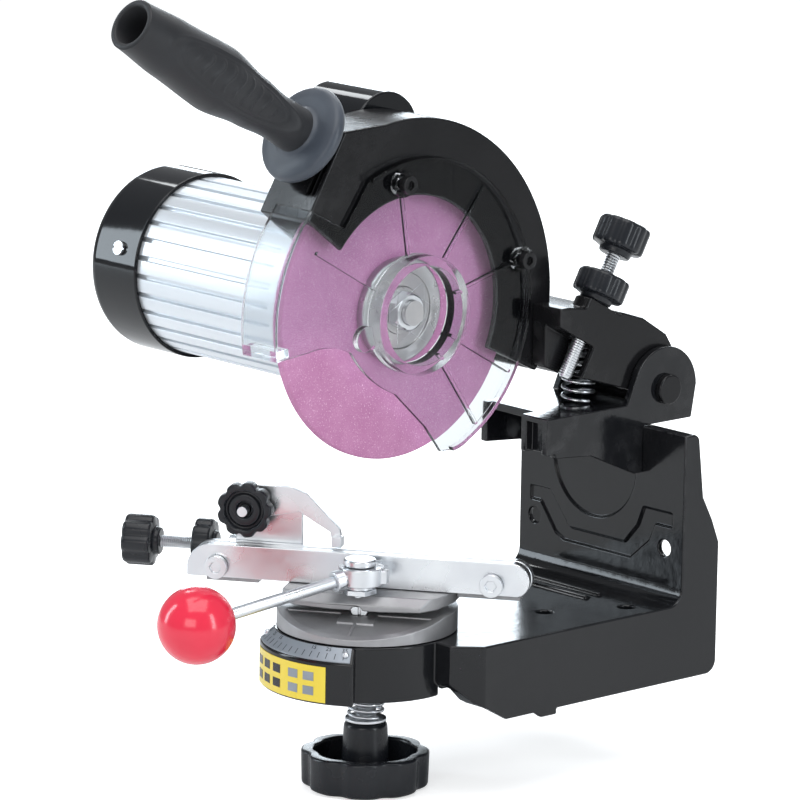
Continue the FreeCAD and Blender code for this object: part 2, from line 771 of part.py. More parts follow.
def make_pawl_stud():
    hinge_x, hinge_z = pawl_hinge
    front = stop_face - pawl_thick - 1.0 - pawl_knob_depth - 2.5
    stud = rod(2.5, (hinge_x, front, hinge_z), (0, 1, 0), stop_back + 4.0 - front)
    head = hexagon(8.0, (hinge_x, stop_back + 0.4, hinge_z), (0, 1, 0), 3.6)
    return stud.fuse(head)


def make_pawl_knob():
    hinge_x, hinge_z = pawl_hinge
    start = (hinge_x, stop_face - pawl_thick - 0.6, hinge_z)
    knob = lobed_knob(pawl_knob_radius, pawl_knob_depth, 9, start, (0, -1, 0), dish=2.5)
    return knob.cut(rod(2.5 + running_gap, (hinge_x, -60, hinge_z), (0, 1, 0), 80))


# ---------------------------------------------------------------- wheel, spindle and motor
def make_grinding_wheel():
    radius = wheel_radius
    steps = [(wheel_half, radius - 1.5), (wheel_half - 1.5, radius), (-wheel_half + 1.5, radius),
             (-wheel_half, radius - 1.5), (-wheel_half, wheel_bore / 2.0)]
    face = face_of((wheel_half, wheel_bore / 2.0), steps, lambda x, r: V(x, wheel_y, wheel_z + r))
    return face.revolve(V(0, wheel_y, wheel_z), ALONG_X, 360)


def make_front_flange():
    x0 = wheel_half
    disc = wheel_rod(flange_radius, (x0, x0 + flange_thick))
    face_x = x0 + flange_thick - 0.1
    disc = soften(disc, 1.2, lambda edge: edge.BoundBox.XMin > face_x and edge.BoundBox.XLength < 0.1)
    dish = wheel_rod(flange_radius - 7.0, (x0 + flange_thick - 1.2, x0 + flange_thick + 1))
    hub = wheel_rod(11.5, (x0 + flange_thick - 1.2, x0 + flange_thick))
    disc = disc.cut(dish).fuse(hub)
    return disc.cut(wheel_rod(spindle_radius, (-20, 40)))


def make_back_flange():
    disc = wheel_rod(flange_radius, (-wheel_half - flange_thick, -wheel_half))
    sleeve = wheel_rod(wheel_bore / 2.0, (-wheel_half - TINY, wheel_half))
    boss = wheel_rod(10.0, (-wheel_half - flange_thick - 5.0, -wheel_half))
    return disc.fuse([sleeve, boss]).cut(wheel_rod(spindle_radius, (-40, 40)))


def make_spindle():
    return wheel_rod(spindle_radius, (motor_back_x - 13.0, wheel_half + flange_thick + nut_height + 2.5))


def make_spindle_nut():
    x0 = wheel_half + flange_thick
    nut = hexagon(nut_across, (x0, wheel_y, wheel_z), (1, 0, 0), nut_height)
    half = nut_across / 2
    crown = Part.makeCone(half + 3.2, half, nut_height, V(x0, wheel_y, wheel_z), ALONG_X)
    nut = nut.common(crown)
    return nut.cut(wheel_rod(spindle_radius, (-40, 60)))


def make_motor_body():
    shell = wheel_rod(motor_radius, (motor_back_x, motor_front_x))
    depth = motor_radius - slot_depth
    for index in range(motor_slots):
        angle = 360.0 * index / motor_slots + 6.0
        slot = block((motor_back_x - 1, motor_front_x - slot_end_gap), (-slot_width / 2.0, slot_width / 2.0),
                     (depth, motor_radius + 2))
        slot.translate(V(0, wheel_y, wheel_z))
        slot.rotate(V(0, wheel_y, wheel_z), ALONG_X, angle)
        shell = shell.cut(slot)
    return shell.cut(wheel_rod(motor_radius - 6.0, (motor_back_x - 1, motor_front_x + 1)))


def make_motor_front():
    """Front end bell between the finned shell and the hood, with the front bearing seat."""
    bell = wheel_rod(flange_ring_radius, (motor_front_x, hood_back_x))
    bell = soften(bell, 1.5, lambda edge: edge.BoundBox.XMax < motor_front_x + 0.1)
    spigot = wheel_rod(motor_radius - 6.0 - TINY, (motor_front_x - 6.0, motor_front_x + 1))
    return bell.fuse(spigot).cut(wheel_rod(13.0, (-60, 0)))


def make_front_bearing():
    return ring(13.0, spindle_radius + running_gap, (motor_front_x - 6.0, wheel_y, wheel_z), (1, 0, 0), 9.0)


def make_rear_bearing():
    return ring(13.0, spindle_radius + running_gap, (motor_back_x - 14.0, wheel_y, wheel_z), (1, 0, 0), 9.0)


def make_rotor():
    return ring(26.0, spindle_radius, (-116.0, wheel_y, wheel_z), (1, 0, 0), 62.0)


def make_stator():
    return ring(motor_radius - 6.0 - 0.02, 26.6, (-112.0, wheel_y, wheel_z), (1, 0, 0), 54.0)


def make_motor_cap():
    x0 = motor_back_x - cap_length
    cap = wheel_rod(cap_radius, (x0, motor_back_x + cap_lip))
    cap = soften(cap, 7.0, lambda edge: edge.BoundBox.XMax < x0 + 0.1)
    cap = cap.cut(wheel_rod(motor_radius, (motor_back_x, motor_back_x + 20)))
    cavity = wheel_rod(cap_radius - 3.5, (x0 + 4.0, motor_back_x + 0.01))
    cap = cap.cut(cavity)
    seat = wheel_rod(16.0, (x0 + 3.0, motor_back_x - 4.0))
    cap = cap.fuse(seat).cut(wheel_rod(13.0, (motor_back_x - 14.0, motor_back_x + 5)))
    for index in range(12):
        angle = 30.0 * index
        y, z = around(27.0, angle)
        vent = rod(2.4, (x0 - 5, y, z), (1, 0, 0), 12.0)
        cap = cap.cut(vent)
    for angle in cap_screw_angles():
        y, z = around(cap_radius + 2.0, angle)
        dy, dz = polar(1.0, angle)
        cap = cap.cut(rod(2.0, (motor_back_x - 9.0, y, z), (0, -dy, -dz), 12.0))
    return cap


def cap_screw_angles():
    return (45.0, 165.0, 285.0)


def make_cap_screws():
    screws = []
    for angle in cap_screw_angles():
        dy, dz = polar(1.0, angle)
        y, z = around(cap_radius - 3.4, angle)
        shank = rod(2.0, (motor_back_x - 9.0, y, z), (0, dy, dz), 4.0)
        y, z = around(cap_radius + 0.05, angle)
        head = rod(3.6, (motor_back_x - 9.0, y, z), (0, dy, dz), 1.8)
        slot_x = (motor_back_x - 13.0, motor_back_x - 5.0)
        slot = block(slot_x, (-0.5, 0.5), (cap_radius + 1.0, cap_radius + 3.0))
        slot.translate(V(0, wheel_y, wheel_z))
        slot.rotate(V(0, wheel_y, wheel_z), ALONG_X, angle - 90.0)
        screws.append(shank.fuse(head.cut(slot)))
    return Part.makeCompound(screws)


# ---------------------------------------------------------------- hood, shield and handle
def lug_frame(along, out):
    """Point in Y and Z from the lug's own directions: along its face and out of it."""
    out_y, out_z = polar(1.0, lug_axis)
    along_y, along_z = polar(1.0, lug_axis - 90.0)
    return (wheel_y + along * along_y + out * out_y, wheel_z + along * along_z + out * out_z)


def lug_block(along_span, out_span, x_span):
    """Box in the lug's directions."""
    corners = [lug_frame(along_span[0], out_span[0]), lug_frame(along_span[1], out_span[0]),
               lug_frame(along_span[1], out_span[1]), lug_frame(along_span[0], out_span[1])]
    return prism_x(corners[0], corners[1:], x_span)


def hood_outline(rim, inset, low_along):
    """Hood edge in Y and Z: round over the wheel, then straight to the top of the handle lug."""
    start = around(rim, hood_start)
    corner = lug_frame(lug_high - inset, lug_face - inset)
    low = lug_frame(low_along, lug_face - inset)
    middle = (hood_start + hood_straight) / 2.0
    return start, [(around(rim, middle), around(rim, hood_straight)), corner, low, (wheel_y, wheel_z)]


def make_hood():
    start, steps = hood_outline(hood_radius, 0.0, lug_low)
    hood = prism_x(start, steps, (hood_back_x, hood_front_x))
    inside = (hood_back_x + hood_web, hood_front_x - hood_lip)
    start, steps = hood_outline(hood_radius - hood_wall, lug_thick, lug_low - 20.0)
    hood = hood.cut(prism_x(start, steps, inside))
    hood = hood.cut(wheel_rod(lip_inner, (inside[0], hood_front_x + 1)))
    web = wheel_rod(flange_ring_radius + 3.0, (hood_back_x, inside[0]))
    pocket_along = (lug_low + 13.0, lug_high - 3.0)
    floor_x = (lug_pocket_x - 0.6, hood_front_x)
    pocket = lug_block(pocket_along, (lug_face - 9.0, lug_face + 1), (lug_pocket_x, inside[1]))
    pocket_floor = lug_block(pocket_along, (lug_face - 11.0, lug_face - 8.0), floor_x)
    rib = lug_block((lug_low + 12.0, lug_high - 2.0), (lug_face - 9.0, lug_face), (5.8, 7.0))
    tab_out = (lug_face - lug_thick, lug_face)
    lip_tab = lug_block((lug_low, lug_low + 8.0), tab_out, (hood_back_x, hood_front_x))
    hood = hood.fuse([web, pocket_floor]).cut(pocket).fuse([rib, lip_tab])
    inward = (0,) + lug_in()
    above = (handle_x,) + lug_frame(handle_foot, lug_face + 5)
    below = (handle_x,) + lug_frame(handle_foot, lug_face - lug_thick)
    hood = hood.cut(rod(handle_bolt / 2.0 + 0.2, above, inward, 20))
    hood = hood.cut(rod(handle_bolt_across * 0.63, below, inward, 8))
    hood = hood.cut(wheel_rod(14.0, (-60, 0)))
    for y, z in shield_screws:
        place = (hood_front_x - hood_lip - 1, wheel_y + y, wheel_z + z)
        hood = hood.cut(rod(2.5, place, (1, 0, 0), 10))
    return hood.removeSplitter()


def lug_in():
    out_y, out_z = polar(1.0, lug_axis)
    return (-out_y, -out_z)


def lug_out():
    return polar(1.0, lug_axis)


def shield_outline(inset):
    """Edge of the clear cover in Y and Z, with its dip beside the lug and its open lower left."""
    top = shield_radius - inset
    left = shield_left_radius - inset
    start = around(left, 139.0)
    steps = [(around(left, 165.0), around(left, 189.0)),
             around(66.0 - inset * 0.5, 190.0),
             ((around(50.0, 193.0)), around(41.0, 201.0)),
             ((around(38.5, 228.0)), around(39.5, 256.0)),
             around(57.5, 280.0), around(73.0 - inset, 286.0),
             ((around(top, 292.0)), around(top, 298.0)),
             (around(top, 350.0), around(top, 30.0)),
             (around(top, 75.0), around(top - 2.0, 113.0)),
             ((around(67.0, 122.0)), around(63.0, 134.0))]
    return start, steps


def make_clear_shield():
    start, steps = shield_outline(0.0)
    back = hood_front_x
    front = back + shield_thick
    plate = prism_x(start, steps, (back, front))
    wall = sector_x(shield_left_radius, 139.0, 189.0, (back - shield_left_depth, front))
    wall = wall.cut(wheel_rod(shield_left_radius - shield_thick, (-60, 60)))
    foot_start = around(shield_left_radius - TINY, 189.0)
    foot_steps = [around(shield_left_radius - TINY, 186.0), around(77.0, 186.0), around(77.0, 189.0)]
    foot = prism_x(foot_start, foot_steps, (back - shield_left_depth, back))
    skirt_outer = prism_x(start, steps, (front - TINY, front + 3.0))
    start_in, steps_in = shield_outline(2.0)
    skirt_inner = prism_x(start_in, steps_in, (front - 1, front + 6.0))
    rim = skirt_outer.cut(skirt_inner).common(sector_x(shield_radius + 20, -70.0, 113.0, (0, 60)))
    shield = plate.fuse([wall, foot, rim])
    collar = wheel_rod(shield_ring, (front - TINY, front + shield_ring_height))
    shield = shield.fuse(collar).cut(wheel_rod(shield_hole, (0, 60)))
    for angle in (52.0, 99.0, 150.0, 15.0, 330.0, 305.0):
        rib = block((front - TINY, front + 2.2), (shield_ring - 1, shield_radius - 3.0), (-0.8, 0.8))
        rib.translate(V(0, wheel_y, wheel_z))
        rib.rotate(V(0, wheel_y, wheel_z), ALONG_X, angle)
        shield = shield.fuse(rib)
    for y, z in shield_screws + [shield_post]:
        place = (front - TINY, wheel_y + y, wheel_z + z)
        shield = shield.fuse(rod(6.3, place, (1, 0, 0), 3.5))
    for y, z in shield_screws:
        place = (back - 1, wheel_y + y, wheel_z + z)
        shield = shield.cut(rod(2.6, place, (1, 0, 0), 20))
    return shield.removeSplitter()


def make_shield_screws():
    screws = []
    front = hood_front_x + shield_thick + 3.5
    for y, z in shield_screws:
        foot = (hood_front_x - hood_lip, wheel_y + y, wheel_z + z)
        shank = rod(2.4, foot, (1, 0, 0), front - hood_front_x + hood_lip)
        head = rod(4.4, (front, wheel_y + y, wheel_z + z), (1, 0, 0), 4.0)
        head = head.cut(hexagon(4.0, (front + 2.0, wheel_y + y, wheel_z + z), (1, 0, 0), 4.0))
        screws.append(shank.fuse(head))
    return Part.makeCompound(screws)


def handle_at(distance):
    """Point on the handle axis, measured out from the lug face."""
    y, z = lug_frame(handle_foot, lug_face + distance)
    return (handle_x, y, z)


def revolve_on_handle(profile):
    """Solid of revolution about the handle axis from (distance, radius) pairs."""
    out_y, out_z = lug_out()
    along_y, along_z = polar(1.0, lug_axis - 90.0)
    base = V(*handle_at(0.0))
    axis = V(0, out_y, out_z)
    side = V(0, along_y, along_z)
    points = [base + axis * distance + side * radius for distance, radius in profile]
    first = points[0]
    spline = Part.BSplineCurve()
    spline.interpolate(points)
    edges = [spline.toShape(), Part.LineSegment(points[-1], base + axis * profile[-1][0]).toShape(),
             Part.LineSegment(base + axis * profile[-1][0], base + axis * profile[0][0]).toShape(),
             Part.LineSegment(base + axis * profile[0][0], first).toShape()]
    return Part.Face(Part.Wire(edges)).revolve(base, axis, 360)


def make_handle_grip():
    length = handle_length
    profile = [(4.0 + collar_thick, grip_neck_radius), (30.0, grip_neck_radius - 0.2),
               (48.0, grip_neck_radius + 1.8),
               (length * 0.55, grip_bulge_radius), (length * 0.8, grip_bulge_radius - 1.8),
               (length - 2.0, grip_end_radius + 0.2), (length, grip_end_radius)]
    grip = revolve_on_handle(profile)
    out = (0,) + lug_out()
    collar = rod(collar_radius, handle_at(4.0), out, collar_thick)
    collar = soften(collar, collar_thick / 2.0 - 0.3, lambda edge: edge.Length > 60)
    neck = rod(grip_neck_radius, handle_at(0.0), out, 5.0)
    grip = grip.fuse([collar, neck])
    grip = grip.cut(rod(grip_bore, handle_at(length - 22.0), out, 30.0))
    return grip.cut(rod(handle_bolt / 2.0, handle_at(-5.0), out, 75.0))


def make_handle_bolt():
    out = (0,) + lug_out()
    inward = (0,) + lug_in()
    shank = rod(handle_bolt / 2.0, handle_at(-lug_thick), out, lug_thick + 68.0)
    head = hexagon(handle_bolt_across, handle_at(-lug_thick), inward, 4.0)
    return shank.fuse(head)


# ---------------------------------------------------------------- switch housing
def make_switch_housing():
    middle = (switch_front_y + switch_back_y) / 2.0
    half = (switch_back_y - switch_front_y) / 2.0
    low = wheel_z
    shoulder = switch_top - half * 0.86
    steps = [(switch_back_y, low), (switch_back_y, shoulder),
             ((middle, switch_top), (switch_front_y, shoulder))]
    span = (switch_left_x, switch_right_x)
    shell = prism_x((switch_front_y, low), steps, span)
    shell = shell.cut(wheel_rod(motor_radius, (-200, 50)))
    wall = 2.5
    inner_steps = [(switch_back_y - wall, low), (switch_back_y - wall, shoulder),
                   ((middle, switch_top - wall), (switch_front_y + wall, shoulder))]
    inner = prism_x((switch_front_y + wall, low), inner_steps, (span[0] + wall, span[1] - wall))
    inner = inner.cut(wheel_rod(motor_radius + wall, (-200, 50)))
    shell = shell.cut(inner).cut(wheel_rod(flange_ring_radius, (motor_front_x, hood_back_x)))
    x_mid = (span[0] + span[1]) / 2.0
    half_hole = rocker_height / 2 + rocker_gap
    opening = block((x_mid - rocker_width / 2 - rocker_gap, x_mid + rocker_width / 2 + rocker_gap),
                    (switch_front_y - 5, switch_front_y + 5),
                    (rocker_z() - half_hole, rocker_z() + half_hole))
    shell = shell.cut(opening)
    return shell.cut(rod(gland_radius - 1.5, (x_mid, switch_back_y - 5, gland_z()), (0, 1, 0), 10))


def rocker_z():
    return switch_top - 30.0


def gland_z():
    return switch_top - 34.0


def make_rocker():
    x_mid = (switch_left_x + switch_right_x) / 2.0
    half = rocker_height / 2.0
    y0 = switch_front_y
    steps = [(y0 + 4.0, rocker_z() - half), (y0 + 4.0, rocker_z() + half), (y0 - 2.2, rocker_z() + half),
             (y0 + 0.4, rocker_z())]
    x_span = (x_mid - rocker_width / 2.0, x_mid + rocker_width / 2.0)
    rocker = prism_x((y0 - 0.4, rocker_z() - half), steps, x_span)
    return rocker


def make_gland():
    x_mid = (switch_left_x + switch_right_x) / 2.0
    body = hexagon(gland_radius * 2.2, (x_mid, switch_back_y, gland_z()), (0, 1, 0), 4.0)
    thread = rod(gland_radius - 1.6, (x_mid, switch_back_y - 3.5, gland_z()), (0, 1, 0), 4.0)
    dome_foot = V(x_mid, switch_back_y + 4.0, gland_z())
    dome = Part.makeCone(gland_radius, gland_radius - 2.0, 7.0, dome_foot, ALONG_Y)
    return body.fuse([thread, dome]).cut(rod(3.4, (x_mid, 0, gland_z()), (0, 1, 0), 100))


# ---------------------------------------------------------------- swing arm and bracket
def screw_axis():
    """Downward direction of the depth-stop screw."""
    lean = math.radians(stop_tilt)
    return (0.0, -math.sin(lean), -math.cos(lean))


def on_screw(distance):
    """Point on the depth-stop screw, measured up from its tip."""
    down = screw_axis()
    return (stop_x, stop_tip[0] - down[1] * distance, stop_tip[1] - down[2] * distance)


def screw_up():
    down = screw_axis()
    return (-down[0], -down[1], -down[2])


pad_height = 40.0


def screw_frame(along, across):
    """Point in the plane of the arm, measured along the stop screw and away from it."""
    lean = math.radians(stop_tilt)
    y = stop_tip[0] + math.sin(lean) * along + math.cos(lean) * across
    return (y, stop_tip[1] + math.cos(lean) * along - math.sin(lean) * across)


def make_swing_arm():
    knuckle = (pivot_y, pivot_z)
    steps = [(101.0, 186.0), (128.0, 182.0), (150.0, 175.0), (166.0, 165.0), (172.0, 156.0),
             (pivot_y + 9.0, pivot_z + 5.0), (pivot_y - 10.0, pivot_z - 2.0), (104.0, 151.5), (94.0, 156.0)]
    body = prism_x((94.0, 186.0), steps, (arm_left, arm_right))
    hollow_steps = [(126.0, 182.0 - arm_wall), (148.0, 171.0 - 1.0), (152.0, 130.0), (100.0, 130.0)]
    hollow = prism_x((100.0, 182.0 - arm_wall), hollow_steps, (arm_left + arm_wall, arm_right - arm_wall))
    front = block((arm_left + arm_wall, arm_right - arm_wall), (90.0, 106.0 + arm_wall), (120.0, 190.0))
    body = body.cut(hollow.cut(front))
    lug = rod(9.5, on_screw(22.0), screw_up(), pad_height - 22.0)
    lug = lug.cut(block((arm_right, 90), (0, 300), (0, 300)))
    body = body.fuse(lug)
    barrel = rod(knuckle_radius, (arm_left, pivot_y, pivot_z), (1, 0, 0), arm_right - arm_left)
    body = body.fuse(barrel)
    body = body.cut(wheel_rod(hood_radius, (hood_back_x - 5, hood_front_x)))
    flat = rod(16.0, on_screw(pad_height), screw_up(), 20.0)
    body = body.cut(flat)
    body = body.cut(rod(stop_rod / 2.0 + running_gap, on_screw(-20), screw_up(), 120))
    pin_hole = rod(pivot_pin / 2.0 + running_gap, (-60, pivot_y, pivot_z), (1, 0, 0), 150)
    corners = [screw_frame(-stop_window_low, stop_window_side),
               screw_frame(stop_window_top, stop_window_side),
               screw_frame(stop_window_top, -stop_window_front)]
    window_x = (stop_x - stop_rod / 2.0 - 2.0, arm_right + 1.0)
    window = prism_x(screw_frame(-stop_window_low, -stop_window_front), corners, window_x)
    return body.cut(window).cut(pin_hole).removeSplitter()


def ear_solid(x_span):
    """Side plate of the bracket, from the stop tab back to the pivot ear."""
    front = shelf_front - 2.0
    steps = [(front, shelf_top), (136.0, shelf_top), (143.0, 150.0),
             ((pivot_y, pivot_z + ear_radius), (pivot_y + ear_radius, pivot_z)),
             (pivot_y + ear_radius - 3.0, wall_top + 0.3), (wall_face_y, wall_top + 0.3),
             (wall_face_y, bracket_foot), (wall_face_y - 5.0, bracket_foot), (112.0, 112.0)]
    return prism_x((front, 114.0), steps, x_span)


def bracket_spans():
    left = (arm_left - ear_gap - ear_thick, arm_left - ear_gap)
    right = (arm_right + ear_gap, arm_right + ear_gap + ear_thick)
    return left, right


def bracket_bolt_places():
    left, right = bracket_spans()
    middle_z = bracket_foot + 9.0
    return [(left[1] + 9.0, middle_z), (right[0] - 9.0, middle_z)]


def make_pivot_bracket():
    left, right = bracket_spans()
    bracket = ear_solid(left).fuse(ear_solid(right))
    shelf = block((left[0], right[1]), (shelf_front, wall_face_y - 2.0), (shelf_top - shelf_thick, shelf_top))
    plate = block((left[0], right[1]), (wall_face_y - 4.0, wall_face_y), (bracket_foot, shelf_top - 1.0))
    tab_y = (shelf_front - 8.0, shelf_front + 1.0)
    tab = block((stop_x - 9.0, right[1]), tab_y, (shelf_top - 18.0, shelf_top))
    tab = tab.cut(block((stop_x - 5.0, right[1] - 4.0), (shelf_front - 9.0, shelf_front - 4.0),
                        (shelf_top - 30.0, shelf_top - 3.0)))
    bracket = bracket.fuse([shelf, plate, tab])
    for x, z in bracket_bolt_places():
        bracket = bracket.cut(rod(3.3, (x, wall_face_y - 20, z), (0, 1, 0), 40))
    pin = rod(pivot_pin / 2.0, (-60, pivot_y, pivot_z), (1, 0, 0), 150)
    return bracket.cut(pin).removeSplitter()


def make_bracket_bolts():
    bolts = []
    for x, z in bracket_bolt_places():
        shank = rod(3.0, (x, wall_face_y - 4.0, z), (0, 1, 0), 4.0 + cast_wall + 6.0)
        head = hexagon(10.0, (x, wall_face_y - 8.0, z), (0, 1, 0), 4.0)
        nut = hexagon(10.0, (x, wall_face_y + cast_wall, z), (0, 1, 0), 5.0)
        bolts.append(shank.fuse([head, nut]))
    return Part.makeCompound(bolts)


def make_pivot_pin():
    left, right = bracket_spans()
    pin = rod(pivot_pin / 2.0, (left[0] - 2.0, pivot_y, pivot_z), (1, 0, 0), right[1] - left[0] + 4.0)
    head = rod(7.5, (right[1], pivot_y, pivot_z), (1, 0, 0), 3.5)
    head = soften(head, 1.0, lambda edge: edge.BoundBox.XMin > right[1] + 3.0 and edge.BoundBox.XLength < 0.1)
    clip = ring(7.5, pivot_pin / 2.0 - TINY, (left[0] - 1.6, pivot_y, pivot_z), (1, 0, 0), 1.5)
    return pin.fuse([head, clip])


def make_return_spring():
    x, y = spring_at
    top = spring_top
    spring = coil(spring_radius, spring_wire, top - shelf_top - spring_wire - 0.4, 6.0)
    spring.translate(V(x, y, shelf_top + spring_wire / 2.0 + 0.2))
    return spring


def make_depth_screw():
    screw = rod(stop_rod / 2.0, on_screw(0.0), screw_up(), stop_rod_length)
    return soften(screw, 1.0, lambda edge: edge.BoundBox.ZMax < stop_tip[1] + 3.0 and edge.Length > 10)


def make_depth_knob():
    start = stop_rod_length - 6.0
    knob = lobed_knob(depth_knob_radius, depth_knob_height, 10, on_screw(start), screw_up())
    hub = rod(8.5, on_screw(start - 3.0), screw_up(), 4.0)
    return knob.fuse(hub).cut(rod(stop_rod / 2.0, on_screw(0), screw_up(), stop_rod_length))


def make_lock_knob():
    base = pad_height + 0.3
    knob = lobed_knob(depth_knob_radius, lock_knob_height, 10, on_screw(base + 4.0), screw_up())
    hub = rod(9.0, on_screw(base), screw_up(), 5.0)
    return knob.fuse(hub).cut(rod(stop_rod / 2.0 + running_gap, on_screw(0), screw_up(), 120))


# ---------------------------------------------------------------- output
PIECES = {
    "base_frame": make_base_frame,
    "scale_plate": make_scale_plate,
    "scale_rivets": make_scale_rivets,
    "nose_label": make_nose_label,
    "pivot_bracket": make_pivot_bracket,
    "bracket_bolts": make_bracket_bolts,
    "pivot_pin": make_pivot_pin,
    "return_spring": make_return_spring,
    "clamp_washer": make_clamp_washer,
    "clamp_spring": make_clamp_spring,
    "clamp_handwheel": make_handwheel,
    "swing_arm": make_swing_arm,
    "wheel_hood": make_hood,
    "clear_shield": make_clear_shield,
    "shield_screws": make_shield_screws,
    "handle_grip": make_handle_grip,
    "handle_bolt": make_handle_bolt,
    "motor_body": make_motor_body,
    "motor_front_bell": make_motor_front,
    "motor_end_cap": make_motor_cap,
    "cap_screws": make_cap_screws,
    "motor_stator": make_stator,
    "motor_rotor": make_rotor,
    "front_bearing": make_front_bearing,
    "rear_bearing": make_rear_bearing,
    "spindle": make_spindle,
    "spindle_nut": make_spindle_nut,
    "front_flange": make_front_flange,
    "back_flange": make_back_flange,
    "grinding_wheel": make_grinding_wheel,
    "switch_housing": make_switch_housing,
    "switch_rocker": make_rocker,
    "cord_gland": make_gland,
    "depth_screw": make_depth_screw,
    "depth_knob": make_depth_knob,
    "depth_lock_knob": make_lock_knob,
}

VISE_PIECES = {
    "turntable": make_turntable,
    "vise_bolt": make_vise_bolt,
    "tilt_pin": make_tilt_pin,
    "tilt_plate": make_tilt_plate,
    "fixed_rail": make_fixed_rail,
    "moving_rail": make_moving_rail,
    "rail_packers": make_rail_packers,
    "rail_bolts": make_rail_bolts,
    "cam_post": make_cam_post,
    "clamp_cam": make_clamp_cam,
    "clamp_lever": make_clamp_lever,
    "clamp_ball": make_clamp_ball,
    "stop_plate": make_stop_plate,
    "stop_guide": make_stop_guide,
    "adjust_screw": make_adjust_screw,
    "adjust_knob": make_adjust_knob,
    "adjust_lock_knob": make_adjust_lock,
    "pawl_arm": make_pawl_arm,
    "pawl_stud": make_pawl_stud,
    "pawl_knob": make_pawl_knob,
}


def save(name, shape):
    """Move a piece to the part's origin and write its file."""
    moved = shape.copy()
    moved.translate(origin_move)
    moved.exportStep("parts/" + name + ".step")


def main():
    os.makedirs("parts", exist_ok=True)
    for name, make in PIECES.items():
        save(name, make())
    for name, make in VISE_PIECES.items():
        save(name, on_vise(make()))


main()
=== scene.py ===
"""Looks of a bench grinder for saw chain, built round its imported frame."""

import json
import logging
import math
from dataclasses import dataclass, field
from enum import Enum

import bmesh
import bpy
from mathutils import Matrix, Vector

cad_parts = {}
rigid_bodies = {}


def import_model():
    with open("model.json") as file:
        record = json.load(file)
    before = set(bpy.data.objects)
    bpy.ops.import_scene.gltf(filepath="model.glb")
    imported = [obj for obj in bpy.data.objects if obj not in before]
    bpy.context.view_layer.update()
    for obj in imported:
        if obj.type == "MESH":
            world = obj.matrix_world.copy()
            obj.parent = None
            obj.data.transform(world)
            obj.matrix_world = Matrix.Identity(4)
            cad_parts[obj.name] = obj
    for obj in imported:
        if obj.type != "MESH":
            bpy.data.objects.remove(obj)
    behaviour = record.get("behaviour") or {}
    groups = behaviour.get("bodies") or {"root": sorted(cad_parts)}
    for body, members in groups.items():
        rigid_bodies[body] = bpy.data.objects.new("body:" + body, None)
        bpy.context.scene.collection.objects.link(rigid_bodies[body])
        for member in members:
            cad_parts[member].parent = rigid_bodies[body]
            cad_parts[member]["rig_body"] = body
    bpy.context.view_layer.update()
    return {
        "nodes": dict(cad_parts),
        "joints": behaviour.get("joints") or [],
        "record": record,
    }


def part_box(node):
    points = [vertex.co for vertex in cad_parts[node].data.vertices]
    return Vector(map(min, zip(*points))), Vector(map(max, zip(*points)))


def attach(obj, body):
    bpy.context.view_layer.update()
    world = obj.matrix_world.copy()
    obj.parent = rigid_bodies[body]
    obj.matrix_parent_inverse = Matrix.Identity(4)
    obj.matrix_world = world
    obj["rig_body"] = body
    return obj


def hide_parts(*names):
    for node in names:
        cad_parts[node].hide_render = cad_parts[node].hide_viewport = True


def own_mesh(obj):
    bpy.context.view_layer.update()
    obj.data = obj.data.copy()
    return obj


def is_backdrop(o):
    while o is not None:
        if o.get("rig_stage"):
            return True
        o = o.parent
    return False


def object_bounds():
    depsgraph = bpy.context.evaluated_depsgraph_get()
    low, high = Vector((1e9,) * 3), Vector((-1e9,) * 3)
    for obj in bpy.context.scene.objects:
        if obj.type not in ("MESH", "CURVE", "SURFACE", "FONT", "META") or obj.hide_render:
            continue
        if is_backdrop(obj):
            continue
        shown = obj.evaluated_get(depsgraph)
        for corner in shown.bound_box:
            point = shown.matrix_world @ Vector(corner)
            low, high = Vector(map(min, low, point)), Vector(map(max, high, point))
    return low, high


MM = 0.001
DUST_COLOUR = (0.42, 0.41, 0.4)
COAT_ROUGHNESS = 0.06
EDGE_SHADING = 38.0
ROUND_SHADING = 50.0
THREAD_SHADING = 45.0
KNOB_SHADING = 34.0
BALL_SHADING = 30.0
log = logging.getLogger("chain_grinder")

Colour = tuple[float, float, float]
Socket = bpy.types.NodeSocket
Tree = bpy.types.NodeTree
Node = bpy.types.Node
Mesh = bpy.types.Mesh
Piece = bpy.types.Object
Material = bpy.types.Material
Outline = list[tuple[float, float]]
LobedOutline = tuple[tuple[float, float, float], ...]


class Look(Enum):
    """Named finishes of the machine."""

    BLACK_PAINT = "black_paint"
    BLACK_CAST = "black_cast"
    BLACK_PLASTIC = "black_plastic"
    BLACK_CAP = "black_cap"
    ZINC = "zinc"
    STEEL = "steel"
    GREY_CAST = "grey_cast"
    MOTOR = "motor_aluminium"
    SCALE = "scale_metal"
    LABEL = "yellow_label"
    CLEAR = "clear_plastic"
    WHEEL = "pink_abrasive"
    RUBBER = "grip_rubber"
    # Black rubber of the hand guard, lighter and bluer by a painted sky reflection.
    GUARD = "guard_rubber_painted_sky_reflection"
    WINDING = "winding"
    ROCKER = "red_plastic"
    BALL = "red_ball"


